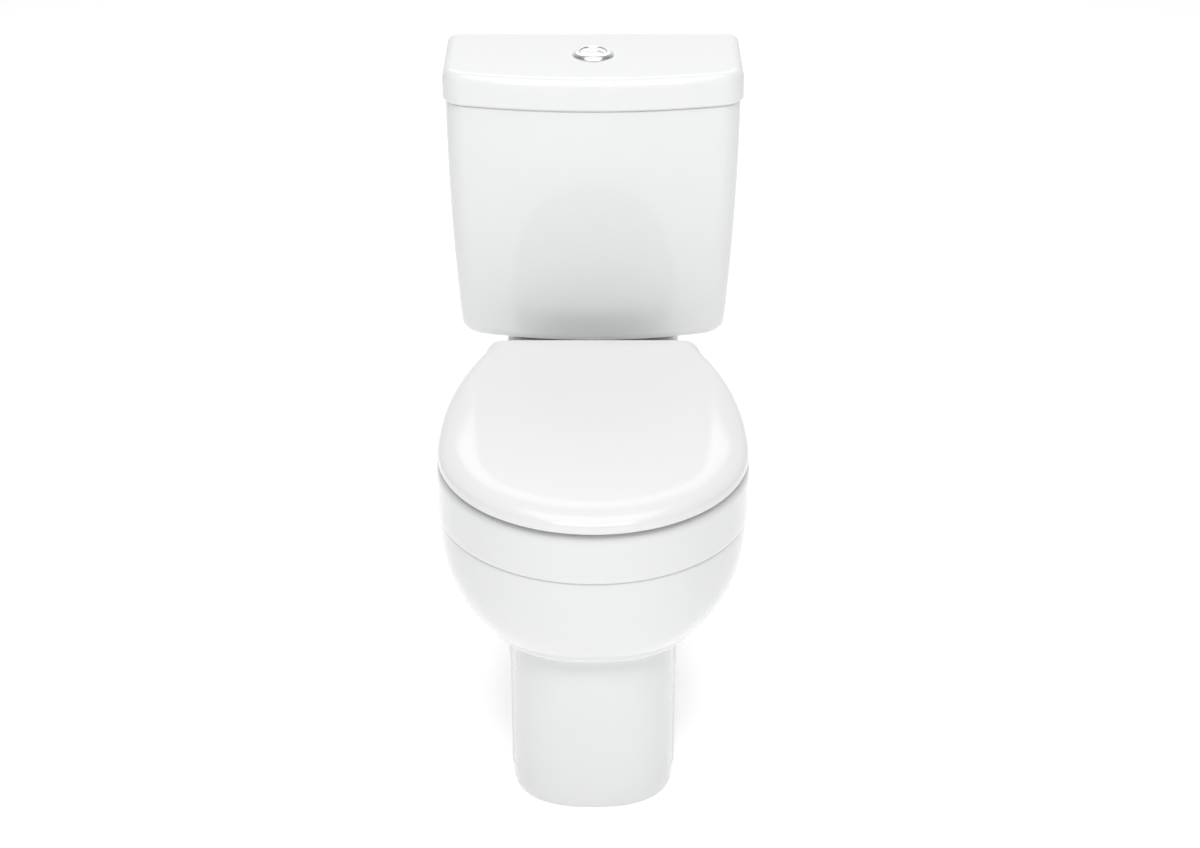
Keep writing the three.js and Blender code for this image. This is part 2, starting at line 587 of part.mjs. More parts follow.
function makeFillHead(x, pivotDepth, pivotZ) {
  const v = fillValve;
  const low = cistern.floor - v.tail;
  const flange = fillFlangeLow;
  const collar = floatRest - gap;
  const section = [
    [v.bore, low], [v.shank, low], [v.shank, flange], [v.flange, flange], [v.flange, flange + 4],
    [v.riser, flange + 4], [v.riser, collar - 4], [v.riser + 5, collar - 4], [v.riser + 5, collar],
    [v.riser, collar], [v.riser, v.top - 26], [v.flange, v.top - 24], [v.flange, v.top],
    [0, v.top], [0, v.top - 20], [v.bore, v.top - 20],
  ];
  let head = turned(section, x, valveDepth);
  for (const s of [-1, 1]) {
    const cheek = x + 5 * s;
    head = head.add(box(cheek - 1.6, cheek + 1.6, pivotDepth - 2, pivotDepth + 5, v.top - 6, pivotZ + 4));
  }
  const pinHole = crossRod(v.leverPin + 0.1, x - 8, x + 8, pivotDepth, pivotZ, 8);
  piece("fill_valve_body", head.subtract(pinHole), whitePlastic);
  piece("lever_pin", crossRod(v.leverPin, x - 7, x + 7, pivotDepth, pivotZ, 8), steel);
}

function makeFloatAndLever(x, pivotDepth, pivotZ) {
  const v = fillValve;
  const top = floatRest + v.floatHeight;
  const inner = floatRest + 10;
  const section = [
    [v.riser + 1, floatRest], [v.float, floatRest], [v.float, top], [v.float - 2, top], [v.float - 2, inner],
    [v.riser + 3, inner], [v.riser + 3, top], [v.riser + 1, top],
  ];
  const linkTop = pivotZ - floatTravel / 2 - leverThickness / 2 / Math.cos(leverDroop) - v.linkRod;
  const link = rod(v.linkRod, floatRest + 5, linkTop, x, valveDepth + linkRadius, 8);
  piece("fill_float", turned(section, x, valveDepth).add(link), bluePlastic);
  const bar = new THREE.BoxGeometry(6, leverReach + 10, leverThickness);
  bar.translate(0, -leverReach / 2, 0).rotateX(leverDroop);
  const bore = crossRod(v.leverPin + running, x - 8, x + 8, pivotDepth, pivotZ, 12);
  piece("fill_lever", solid(bar.translate(x, Y(pivotDepth), pivotZ)).subtract(bore), bluePlastic);
}

const fillFlangeLow = tankFloor + 2.5 + 2 * gap;

function makeFillValve() {
  const v = fillValve;
  const x = -inletOffset;
  const pivotDepth = valveDepth - v.pivotBack;
  const pivotZ = v.top + v.pivotRise;
  makeFillHead(x, pivotDepth, pivotZ);
  makeFloatAndLever(x, pivotDepth, pivotZ);
  const washer = pipe(v.flange + 1, v.shank + 0.8, tankFloor + gap, fillFlangeLow - gap, x, valveDepth);
  piece("fill_floor_washer", washer, rubber);
  const nutTop = cistern.floor - gap;
  const nut = hexNut(v.shank + running, 3 * v.shank + 0.8, nutTop - 10, nutTop, x, valveDepth);
  piece("fill_backnut", nut, whitePlastic);
}

// ---------- Close coupling bolts ----------
function makeCouplingBolts() {
  const washerTop = tankFloor + 4 + gap;
  const under = rim - pan.deckThickness;
  for (const [side, s] of sides) {
    const x = (s * boltSpacing) / 2;
    const head = rod(8, washerTop + gap, washerTop + 6, x, valveDepth, 6);
    const shank = rod(4, under - 24, washerTop + 2, x, valveDepth, 12);
    piece(`coupling_bolt_${side}`, head.add(shank), brass);
    piece(`bolt_rubber_washer_${side}`, pipe(13, 4.4, tankFloor + gap, washerTop, x, valveDepth, 16), rubber);
    piece(`bolt_plate_washer_${side}`, pipe(11, 4.4, under - 2.3, under - gap, x, valveDepth, 16), steel);
    piece(`coupling_wing_nut_${side}`, wingNut(4.3, under - 2.6 - wingNutHeight, x, valveDepth), brass);
  }
}

// ---------- Seat ----------

// How far the lid's top has fallen at a point: it dips towards the nose and out to the sides.
const crown = (p) =>
  seat.noseFall * clamp01((p.y - seat.noseStart) / (projection - seat.shoulder - seat.noseStart)) ** 2.2 +
  seat.sideFall * clamp01((Math.abs(p.x) - seat.sideStart) / (seat.width / 2 - seat.sideStart)) ** 2;

// Ends of a hinge ear on the outer (1) or inner (-1) side of a post, and of the blind bore in it.
function earSpan(s, side) {
  const near = hinge.spacing / 2 + side * (hinge.postWidth / 2 + 1);
  const far = near + side * hinge.ear;
  const order = (a, b) => [Math.min(s * a, s * b), Math.max(s * a, s * b)];
  return { ear: order(near, far), bore: order(near - side, far - 3 * side) };
}

// A domed shape with an upright skirt and a broad elliptical shoulder, as deep as its place below the
// crown allows.
function lidShell(low, brow, top, inset, shares) {
  const lowest = [{ z: low, outline: seatOutline(inset + (inset ? 0 : 1.5), inset ? -1 : 0) }];
  const back = (reach) => (inset ? -1 : 0.3 * reach);
  const rounded = shares.map((share) => {
    const reach = share * seat.shoulder;
    const drop = 1 - Math.sqrt(1 - (1 - share) ** 2);
    const sag = (p) => crown(p) + drop * (top - crown(p) - brow);
    return { z: top, outline: seatOutline(inset, back(reach), reach), sag };
  });
  const outline = (reach) => seatOutline(inset, back(reach), reach);
  const middle = [60, 96].map((reach) => ({ z: top, outline: outline(reach), sag: crown }));
  return loft([...lowest, ...rounded, ...middle]);
}

function makeSeatLid() {
  const low = seat.skirtBottom;
  const brow = low + seat.skirt;
  const outer = lidShell(low, brow, seatTop, 0, [0, 0.016, 0.08, 0.22, 0.38, 0.6, 0.8, 1]);
  const inside = lidShell(low - 1, brow, innerTop, seat.wall, [0, 0.08, 0.22, 0.5, 1]);
  const half = seat.width / 2;
  const openBack = box(-half, half, seat.back - 5, hinge.depth - 2, low - 5, innerTop + 0.4);
  let shape = outer.subtract(inside).subtract(openBack);
  const radius = hinge.post / 2;
  for (const [, s] of sides) {
    const { ear, bore } = earSpan(s, 1);
    const [webBack, webFront] = [hinge.depth - radius + 0.5, hinge.depth + radius - 0.5];
    const web = box(...ear, webBack, webFront, hinge.height, innerTop + 1);
    shape = shape.add(crossRod(radius, ...ear, hinge.depth, hinge.height)).add(web);
    shape = shape.subtract(crossRod(hinge.pin + running, ...bore, hinge.depth, hinge.height, 12));
  }
  piece("seat_lid", shape, seatPlastic);
  const at = { x: lidBuffer.spread, y: lidBuffer.depth };
  const slope = 2 * gap; // the crown's fall across a buffer
  const span = [ringTop - ring.sag * crown(at) + slope, innerTop - crown(at) - slope];
  for (const [side, s] of sides) {
    const pad = rod(lidBuffer.radius, ...span, s * at.x, at.y, 12);
    piece(`lid_buffer_${side}`, pad, rubber);
  }
}

function makeSeatRing() {
  const low = ring.underside;
  const inset = seat.wall + ring.clearance;
  const backInset = ring.back - seat.back;
  const dip = (p) => ring.sag * crown(p);
  const edge = [[low, 1.5, 0], [low + 2, 0, 0], [ringTop - 7, 0.8, 0.4], [ringTop - 2.5, 5, 0.9]];
  const levels = [...edge, ...[16, 30, 54, 84].map((e) => [ringTop, e, 1])];
  const outer = loft(levels.map(([z, e, share]) =>
    ({ z, outline: seatOutline(inset + e, backInset + Math.min(e, 6)), sag: (p) => share * dip(p) })));
  const middle = (ring.holeBack + ring.holeFront) / 2;
  const reach = (ring.holeFront - ring.holeBack) / 2;
  const holeAt = (g) => {
    const r = reach + g;
    const halfAt = (d) => eggHalf(d, ring.holeWidth / 2 + g, middle, middle + r, r);
    return mirrored(halfAt, middle - r, middle + r, 12);
  };
  const mouth = [[low - 1, 4], [low + 4, 0], [ringTop - 5, 0], [ringTop + 1, 7]];
  let shape = outer.subtract(loft(mouth.map(([z, g]) => ({ z, outline: holeAt(g) }))));
  for (const [, s] of sides) {
    const { ear, bore } = earSpan(s, -1);
    const arm = box(...ear, hinge.depth, ring.back + 12, hinge.height - 5, ringTop);
    shape = shape.add(crossRod(hinge.post / 2, ...ear, hinge.depth, hinge.height)).add(arm);
    shape = shape.subtract(crossRod(hinge.pin + running, ...bore, hinge.depth, hinge.height, 12));
  }
  piece("seat_ring", shape, seatPlastic);
  for (const [side, s] of sides)
    for (const end of ["front", "rear"]) {
      const pad = rod(buffer.radius, rim + gap, low - gap, s * buffer.spread, buffer[end], 12);
      piece(`ring_buffer_${end}_${side}`, pad, rubber);
    }
}

function makeHinges() {
  const under = rim - pan.deckThickness;
  const half = hinge.postWidth / 2;
  const boltTop = rim + 10;
  for (const [side, s] of sides) {
    const x = (s * hinge.spacing) / 2;
    const barrel = crossRod(hinge.post / 2, x - half, x + half, hinge.depth, hinge.height, 16);
    const [d0, d1] = [hinge.depth - hinge.post / 2, hinge.depth + hinge.post / 2];
    const stem = box(x - half, x + half, d0, d1, rim + 1.5, hinge.height);
    const flange = rod(hinge.flange, rim + gap, rim + 2.8, x, hinge.depth);
    const pinHole = crossRod(hinge.pin + 0.05, x - half - 1, x + half + 1, hinge.depth, hinge.height, 12);
    const socket = rod(seatBolt.radius + 0.2, rim - 2, boltTop + 1, x, hinge.depth, 12);
    piece(`hinge_post_${side}`, barrel.add(stem).add(flange).subtract(pinHole).subtract(socket), chrome);
    const reach = half + 1 + hinge.ear - 3.5;
    const pin = crossRod(hinge.pin, x - reach, x + reach, hinge.depth, hinge.height, 12);
    piece(`hinge_pin_${side}`, pin, steel);
    const bolt = rod(seatBolt.radius, boltTop - seatBolt.length, boltTop, x, hinge.depth, 12);
    piece(`hinge_bolt_${side}`, bolt, steel);
    const bore = seatBolt.radius + running;
    const section = [
      [bore, under - 7], [12, under - 7], [12, under - gap], [seatBolt.hole - running, under - gap],
      [seatBolt.hole - 1.2, rim - 1], [bore, rim - 1],
    ];
    piece(`hinge_bush_${side}`, turned(section, x, hinge.depth, 12), rubber);
    piece(`hinge_nut_${side}`, wingNut(bore, under - 7.6 - wingNutHeight, x, hinge.depth), whitePlastic);
  }
}

makePan();
makeSideFixings();
makeCistern();
makeTankLid();
makeButtons();
makeFlushValve();
makeFillValve();
makeCouplingBolts();
makeSeatLid();
makeSeatRing();
makeHinges();

export default parts;
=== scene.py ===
"""Close coupled toilet in white glazed china, laid out as a Blender add-on and run as a script.

Every piece is a surface worked out with numpy: a plan outline, carried up a profile. Depths are measured
forwards from the wall, heights from the floor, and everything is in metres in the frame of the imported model.
"""
import json
import math

import bpy
import numpy as np
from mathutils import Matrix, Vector


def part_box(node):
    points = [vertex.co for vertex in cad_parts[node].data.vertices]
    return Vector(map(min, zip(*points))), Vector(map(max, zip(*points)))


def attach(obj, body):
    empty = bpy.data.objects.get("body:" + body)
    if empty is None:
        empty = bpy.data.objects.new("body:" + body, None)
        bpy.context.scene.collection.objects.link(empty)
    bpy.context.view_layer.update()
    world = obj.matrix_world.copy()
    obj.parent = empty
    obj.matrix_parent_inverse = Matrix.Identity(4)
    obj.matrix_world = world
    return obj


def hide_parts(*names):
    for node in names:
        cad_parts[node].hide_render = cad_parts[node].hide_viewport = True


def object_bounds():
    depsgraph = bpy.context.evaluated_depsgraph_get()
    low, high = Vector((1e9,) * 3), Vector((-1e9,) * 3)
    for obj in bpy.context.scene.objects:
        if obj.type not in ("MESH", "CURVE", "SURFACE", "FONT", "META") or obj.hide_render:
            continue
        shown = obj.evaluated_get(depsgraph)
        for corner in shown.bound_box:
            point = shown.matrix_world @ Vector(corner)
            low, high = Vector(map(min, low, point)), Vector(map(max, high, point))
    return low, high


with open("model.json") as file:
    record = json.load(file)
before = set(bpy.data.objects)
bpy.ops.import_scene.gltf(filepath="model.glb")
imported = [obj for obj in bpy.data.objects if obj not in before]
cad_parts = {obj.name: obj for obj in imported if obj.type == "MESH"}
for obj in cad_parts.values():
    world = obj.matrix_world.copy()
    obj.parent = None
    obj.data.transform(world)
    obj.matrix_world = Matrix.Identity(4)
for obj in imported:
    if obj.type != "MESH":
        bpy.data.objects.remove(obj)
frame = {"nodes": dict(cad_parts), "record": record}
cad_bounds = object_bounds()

bl_info = {
    "name": "Close Coupled Toilet",
    "version": (1, 0, 0),
    "blender": (4, 5, 0),
    "location": "View3D > Sidebar > Toilet",
    "description": "Builds a close coupled toilet: pan, cistern, seat, flush button and fittings",
    "category": "Add Mesh",
}

WALL = cad_bounds[1].y  # the plane of the wall
SIDES = (("left", -1.0), ("right", 1.0))


def middle(node):
    """The middle of a node's box."""
    low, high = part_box(node)
    return (low + high) / 2


PAN_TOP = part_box("pan")[1].z
TANK_LOW, TANK_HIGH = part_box("cistern_body")
LID_LOW, LID_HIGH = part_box("cistern_lid")
SEAT_LOW, SEAT_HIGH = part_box("seat_lid")
RING_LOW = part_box("seat_ring")[0]
BUTTON_AT = middle("button_bezel")


# ---------- Sizes and colours that a user would change ----------

def size(name, default, description):
    return bpy.props.FloatProperty(
        name=name, description=description, default=default, min=0.0, unit="LENGTH", precision=4)


def colour(name, default, description):
    return bpy.props.FloatVectorProperty(
        name=name, description=description, default=default, min=0.0, max=1.0, size=3, subtype="COLOR")


class ToiletPanSizes(bpy.types.PropertyGroup):
    width: size("Width", 0.370, "Across the rim at its widest")
    widest: size("Widest Depth", 0.464, "From the wall to the widest part of the rim")
    front: size("Front", 0.648, "From the wall to the front of the band")
    rear_sweep: size("Rear Sweep", 0.323, "Length of the ellipse behind the widest part")
    band: size("Band Height", 0.343, "Height of the crease under the upright band")
    step: size("Crease Step", 0.0020, "How far the band stands proud of the bowl under it")
    lip: size("Lip Height", 0.218, "Height of the lip where the bowl meets the pedestal")
    bead: size("Bead", 0.0030, "How far the bead along the lip stands out")
    bead_height: size("Bead Height", 0.011, "Height of the bead along the lip")
    lip_width: size("Lip Width", 0.235, "Across the lip")
    lip_front: size("Lip Front", 0.616, "From the wall to the front of the lip")
    foot_width: size("Foot Width", 0.194, "Across the pedestal")
    foot_front: size("Foot Front", 0.606, "From the wall to the front of the pedestal")
    foot_back: size("Foot Back", 0.190, "From the wall to the back of the pedestal")
    foot_widest: size("Foot Corner Depth", 0.518, "From the wall to where the pedestal's front rounds")
    deck_width: size("Deck Width", 0.224, "Across the deck under the cistern")
    deck_back: size("Deck Back", 0.015, "From the wall to the back of the deck")
    bowl_width: size("Bowl Width", 0.280, "Across the mouth of the bowl")
    bowl_back: size("Bowl Back", 0.272, "From the wall to the back of the bowl's mouth")
    bowl_front: size("Bowl Front", 0.612, "From the wall to the front of the bowl's mouth")
    sump_depth: size("Sump Depth", 0.335, "From the wall to the middle of the sump")
    sump_floor: size("Sump Floor", 0.122, "Height of the lowest part of the bowl")
    sump_width: size("Sump Width", 0.088, "Across the sump")
    trap_radius: size("Trap Radius", 0.038, "Radius of the trap's bore")
    outlet_height: size("Outlet Height", 0.180, "Height of the outlet's middle")
    outlet_depth: size("Outlet Depth", 0.105, "From the wall to the end of the outlet")
    wall: size("Wall", 0.010, "Thickness of the china")


class ToiletCisternSizes(bpy.types.PropertyGroup):
    taper: size("Taper", 0.026, "How much narrower the floor is than the rim")
    depth_taper: size("Depth Taper", 0.012, "How much shallower the floor is than the rim")
    bow: size("Bow", 0.028, "How far the middle of the front stands out")
    corner: size("Front Corner", 0.024, "Radius of the front corners")
    back_corner: size("Back Corner", 0.010, "Radius of the back corners")
    edge: size("Bottom Edge", 0.014, "Rounding of the bottom edge")
    lid_edge: size("Lid Edge", 0.013, "Rounding of the lid's top edge")
    overhang: size("Lid Overhang", 0.0035, "How far the lid stands out past the cistern")
    wall: size("Wall", 0.009, "Thickness of the china")


class ToiletSeatSizes(bpy.types.PropertyGroup):
    width: size("Width", 0.366, "Across the lid")
    back: size("Back", 0.210, "From the wall to the back of the lid")
    shoulder: size("Shoulder", 0.037, "How far in the rounding of the lid's edge reaches")
    narrowing: size("Narrowing", 0.170, "Length over which the shoulder narrows towards the hinges")
    skirt: size("Skirt", 0.008, "Height of the upright edge under the shoulder")
    rear_sweep: size("Rear Sweep", 0.322, "Length of the ellipse behind the lid's widest part")
    nose_fall: size("Nose Fall", 0.007, "How far the lid's top falls towards the front")
    side_fall: size("Side Fall", 0.0055, "How far the lid's top falls towards the sides")
    dome: size("Dome", 0.003, "Height of the lid's crest over its plate")
    thickness: size("Seat Thickness", 0.011, "Thickness of the seat under the lid")
    wall: size("Wall", 0.006, "Thickness of the skirt")
    plate: size("Plate", 0.0055, "Thickness of the lid's top")
    clearance: size("Clearance", 0.0025, "Between the seat and the skirt of the lid")
    hole_width: size("Hole Width", 0.224, "Across the hole in the seat")
    hole_back: size("Hole Back", 0.286, "From the wall to the back of the hole")
    hole_front: size("Hole Front", 0.590, "From the wall to the front of the hole")
    ring_back: size("Seat Back", 0.240, "From the wall to the back of the seat")


class ToiletColours(bpy.types.PropertyGroup):
    glaze: colour("Glaze", (0.80, 0.81, 0.805), "White glaze on the china")
    seat: colour("Seat", (0.82, 0.825, 0.82), "Seat and lid")
    plastic: colour("White Plastic", (0.72, 0.73, 0.74), "Moulded plastic fittings")
    blue: colour("Blue Plastic", (0.05, 0.17, 0.38), "Working parts of the valves")
    rubber: colour("Rubber", (0.025, 0.026, 0.028), "Washers and buffers")
    brass: colour("Brass", (0.62, 0.44, 0.20), "Coupling bolts")
    floor: colour("Floor", (0.93, 0.93, 0.93), "Studio floor")


# ---------- Surfaces ----------

def at_depth(depth):
    return WALL - depth


def mix(a, b, t):
    return a + (b - a) * t


def smooth_max(a, b, blend):
    """The larger of a and b, with the corner between them rounded over a width of blend."""
    return (a + b + np.sqrt((a - b) ** 2 + blend**2)) / 2


def ease(t):
    """0 to 1 with level ends: 3 t^2 - 2 t^3."""
    t = np.clip(t, 0.0, 1.0)
    return t * t * (3 - 2 * t)


def quad_faces(rows, columns, close_rows):
    """Index quads of a grid whose columns wrap round, and whose rows wrap too if close_rows."""
    r = np.arange(rows if close_rows else rows - 1)[:, None]
    c = np.arange(columns)[None, :]
    low, high = r * columns, ((r + 1) % rows) * columns
    right = (c + 1) % columns
    return np.stack([low + c, low + right, high + right, high + c], -1).reshape(-1, 4)


def fan(ring, centre):
    """Triangles from a ring of indices to one centre index."""
    return np.stack([np.roll(ring, -1), ring, np.full_like(ring, centre)], -1)


def signed_volume(points, quads, fans):
    """Six times the volume inside the faces, positive when they point out."""
    total = 0.0
    for a, b, c in ((0, 1, 2), (0, 2, 3)):
        total += np.einsum("ij,ij->", points[quads[:, a]], np.cross(points[quads[:, b]], points[quads[:, c]]))
    for f in fans:
        total += np.einsum("ij,ij->", points[f[:, 0]], np.cross(points[f[:, 1]], points[f[:, 2]]))
    return total


def new_piece(name, points, faces, body, replaced, slot, sharp=35.0):
    """A named mesh at the origin, smooth but for edges sharper than the given angle, riding on a body. It
    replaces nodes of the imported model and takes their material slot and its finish."""
    mesh = bpy.data.meshes.new(name)
    mesh.from_pydata(points.tolist(), [], faces)
    mesh.validate()
    mesh.shade_smooth()
    mesh.set_sharp_from_angle(angle=math.radians(sharp))
    piece = bpy.data.objects.new(name, mesh)
    bpy.context.scene.collection.objects.link(piece)
    mesh.materials.append(finish_of(slot))
    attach(piece, body)
    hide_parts(*replaced)
    return piece


def skin(grid, close_rows=False):
    """Points and faces of a closed surface from a grid of rows, each a loop: the first and last rows are
    closed to their mean points unless the rows themselves form a loop. The faces are turned to point out."""
    rows, columns = grid.shape[:2]
    points = grid.reshape(-1, 3)
    quads = quad_faces(rows, columns, close_rows)
    fans = []
    if not close_rows:
        first, last = np.arange(columns), (rows - 1) * columns + np.arange(columns)
        centres = np.stack([grid[0].mean(0), grid[-1].mean(0)])
        points = np.concatenate([points, centres])
        fans = [fan(first, rows * columns), fan(last, rows * columns + 1)[:, [1, 0, 2]]]
    if signed_volume(points, quads, fans) < 0:
        quads, fans = quads[:, ::-1], [f[:, ::-1] for f in fans]
    return points, quads.tolist() + [t for f in fans for t in f.tolist()]


def joined(*shapes):
    """Several closed shapes as one set of points and faces."""
    points, faces, start = [], [], 0
    for p, f in shapes:
        points.append(p)
        faces += [[i + start for i in face] for face in f]
        start += len(p)
    return np.concatenate(points), faces


def turned(profile, x, depth, segments=72, closed=False):
    """A profile of (radius, height) turned about an upright axis at (x, depth)."""
    r, h = np.array(profile, float).T
    turn = np.linspace(0, 2 * np.pi, segments, endpoint=False)
    a, b = r[:, None] * np.cos(turn), r[:, None] * np.sin(turn)
    along = np.repeat(h[:, None], segments, 1)
    return skin(np.stack([x + a, at_depth(depth) + b, along], -1), close_rows=closed)


def arc_about(axis, radius, start, end, count):
    """Points of an arc about a level axis, as pairs of y and height."""
    turn = np.linspace(start, end, count)
    return np.stack([axis.y + radius * np.cos(turn), axis.z + radius * np.sin(turn)], 1)


def swept(outline, x, width, steps):
    """A plate: an outline of pairs of y and height, carried across x through steps that each give a share of
    the width and a scale about the outline's mean point."""
    rows, centre = [], outline.mean(0)
    for share, scale in steps:
        across = np.full(len(outline), x + share * width)
        rows.append(np.column_stack([across, centre + (outline - centre) * scale]))
    return skin(np.stack(rows))


def rounded(radius, low, high, edge, steps=4):
    """Profile of a disc with quarter-round edges, from its underside's middle to its top's middle."""
    t = np.linspace(0, np.pi / 2, steps)
    bottom = np.stack([radius - edge + edge * np.sin(t), low + edge - edge * np.cos(t)], 1)
    top = np.stack([radius - edge + edge * np.cos(t), high - edge + edge * np.sin(t)], 1)
    return np.concatenate([[[radius * 0.3, low]], bottom, top, [[radius * 0.3, high]]])


def egg_half(depth, half, widest, front, rear_sweep, squareness, rear_squareness=2.0):
    """Half-width of an egg at a depth: half (1 - |t|^n)^(1/n), where t runs from 0 at the widest part to 1
    at the front or at rear_sweep behind it, and n is the squareness of that end."""
    ahead = depth > widest
    t = np.where(ahead, (depth - widest) / (front - widest), (widest - depth) / rear_sweep)
    n = np.where(ahead, squareness, rear_squareness)
    return half * np.maximum(0.0, 1 - np.minimum(t, 1.0) ** n) ** (1 / n)


def both_sides(x, depth):
    """A loop from its right-hand half, given from the back's middle to the front's middle."""
    whole_x = np.concatenate([x, -x[:, -2:0:-1]], 1)
    whole_depth = np.concatenate([depth, depth[:, -2:0:-1]], 1)
    return whole_x, whole_depth


def flat_backed(x, depth, across):
    """A loop from its right-hand half, with a straight back of across points ahead of the half's first."""
    start = x[:, :1] * np.linspace(0, 1, across)[None, :-1]
    back = np.repeat(depth[:, :1], across - 1, 1)
    return both_sides(np.concatenate([start, x], 1), np.concatenate([back, depth], 1))


def corner_reach(distance, radius):
    """How far a quarter-round corner reaches out at a distance from the back: from 0 to its radius."""
    into = np.minimum(distance, radius)
    return np.sqrt(np.maximum(radius**2 - (radius - into) ** 2, 0))


def stacked(plan, z):
    """Rows of points from a plan (x, depth) and heights."""
    x, depth = plan
    return np.stack([x, at_depth(depth), np.broadcast_to(z, x.shape)], -1)


def column(values):
    return np.asarray(values, float).reshape(-1, 1)


# ---------- Materials ----------

LIFE = ("Tint", "Wave Scale", "Wave Depth", "Grain Scale", "Grain Depth", "Roughness", "Roughness Spread")
GLOSSY = (0.02, 5.0, 0.02, 700.0, 0.0008, 0.05, 0.03)
MOULDED = (0.02, 4.0, 0.012, 1400.0, 0.002, 0.10, 0.05)
DULL = (0.06, 18.0, 0.02, 1600.0, 0.02, 0.38, 0.15)
BRIGHT = (0.05, 30.0, 0.004, 2200.0, 0.002, 0.22, 0.08)
SATIN = (0.15, 60.0, 0.01, 2600.0, 0.02, 0.26, 0.2)
SOFT = (0.06, 18.0, 0.02, 900.0, 0.02, 0.55, 0.15)
FOAM = (0.06, 90.0, 0.1, 500.0, 0.25, 0.8, 0.15)


def add_group():
    """Ripple and tint shared by all the finishes: a slow noise for a face's waviness and tint, and a fine one
    for its grain."""
    group = bpy.data.node_groups.new("surface_life", "ShaderNodeTree")
    group.interface.new_socket("Colour", in_out="INPUT", socket_type="NodeSocketColor")
    for name in LIFE:
        group.interface.new_socket(name, in_out="INPUT", socket_type="NodeSocketFloat")
    for name, kind in (("Colour", "Color"), ("Roughness", "Float"), ("Normal", "Vector")):
        group.interface.new_socket(name, in_out="OUTPUT", socket_type=f"NodeSocket{kind}")
    nodes, link = group.nodes, group.links.new
    given, out = nodes.new("NodeGroupInput"), nodes.new("NodeGroupOutput")
    coords = nodes.new("ShaderNodeTexCoord")
    wave, grain = nodes.new("ShaderNodeTexNoise"), nodes.new("ShaderNodeTexNoise")
    wave.inputs["Detail"].default_value = 2.0
    grain.inputs["Detail"].default_value = 3.0
    for noise, scale in ((wave, "Wave Scale"), (grain, "Grain Scale")):
        link(coords.outputs["Object"], noise.inputs["Vector"])
        link(given.outputs[scale], noise.inputs["Scale"])
    shade = nodes.new("ShaderNodeMix")
    shade.data_type, shade.blend_type = "RGBA", "MULTIPLY"
    grey = nodes.new("ShaderNodeMapRange")
    grey.inputs["From Min"].default_value, grey.inputs["From Max"].default_value = 0.3, 0.7
    grey.inputs["To Min"].default_value, grey.inputs["To Max"].default_value = 0.0, 1.0
    link(wave.outputs["Fac"], grey.inputs["Value"])
    link(given.outputs["Tint"], shade.inputs["Factor"])
    link(given.outputs["Colour"], shade.inputs[6])
    link(grey.outputs["Result"], shade.inputs[7])
    link(shade.outputs[2], out.inputs["Colour"])
    spread = nodes.new("ShaderNodeMath")
    spread.operation = "MULTIPLY_ADD"
    link(grain.outputs["Fac"], spread.inputs[0])
    link(given.outputs["Roughness Spread"], spread.inputs[1])
    link(given.outputs["Roughness"], spread.inputs[2])
    link(spread.outputs["Value"], out.inputs["Roughness"])
    first, second = nodes.new("ShaderNodeBump"), nodes.new("ShaderNodeBump")
    for bump, depth, noise in ((first, "Wave Depth", wave), (second, "Grain Depth", grain)):
        bump.inputs["Distance"].default_value = 0.02
        link(given.outputs[depth], bump.inputs["Strength"])
        link(noise.outputs["Fac"], bump.inputs["Height"])
    link(first.outputs["Normal"], second.inputs["Normal"])
    link(second.outputs["Normal"], out.inputs["Normal"])
    return group


def finish_with(name, colour, group, recipe, metallic):
    """A Principled surface whose colour, roughness and normal come from the shared group."""
    material = bpy.data.materials.new(name)
    material.use_nodes = True
    nodes, link = material.node_tree.nodes, material.node_tree.links.new
    shader = nodes["Principled BSDF"]
    life = nodes.new("ShaderNodeGroup")
    life.node_tree = group
    life.inputs["Colour"].default_value = (*colour, 1.0)
    for key, value in zip(LIFE, recipe):
        life.inputs[key].default_value = value
    link(life.outputs["Colour"], shader.inputs["Base Color"])
    link(life.outputs["Roughness"], shader.inputs["Roughness"])
    link(life.outputs["Normal"], shader.inputs["Normal"])
    shader.inputs["Metallic"].default_value = metallic


def make_materials(colours):
    group = add_group()
    for name, colour, recipe, metallic in (
        ("white_glaze", colours.glaze, GLOSSY, 0.0),
        ("seat_gloss", colours.seat, MOULDED, 0.0),
        ("chrome_plate", (0.88, 0.885, 0.89), BRIGHT, 1.0),
        ("satin_steel", (0.55, 0.56, 0.57), SATIN, 1.0),
        ("turned_brass", colours.brass, SATIN, 1.0),
        ("white_moulding", colours.plastic, DULL, 0.0),
        ("blue_moulding", colours.blue, DULL, 0.0),
        ("black_rubber", colours.rubber, SOFT, 0.0),
        ("closed_cell_foam", (0.05, 0.05, 0.053), FOAM, 0.0),
    ):
        finish_with(name, colour, group, recipe, metallic)


def finish_of(slot):
    return bpy.data.materials[SLOT_FINISH[slot]]


SLOT_FINISH = {
    "glaze": "white_glaze", "seat_plastic": "seat_gloss", "chrome": "chrome_plate", "steel": "satin_steel",
    "brass": "turned_brass", "white_plastic": "white_moulding", "blue_plastic": "blue_moulding",
    "rubber": "black_rubber", "foam": "closed_cell_foam",
}


# ---------- Pan ----------

DECK_CORNER = 0.016
RIM_ROUND = 0.012
BOWL_ROUND = 0.009
ACCESS_LOW, ACCESS_HIGH = 0.255, PAN_TOP - 0.020  # the opening in the pan's back
ACCESS_COLUMNS = 7  # and how many columns it takes on each side of the middle
FLUSH_HOLE = 0.046
TRAP_WINDOW = 43  # samples in the moving mean that rounds the trap's bends


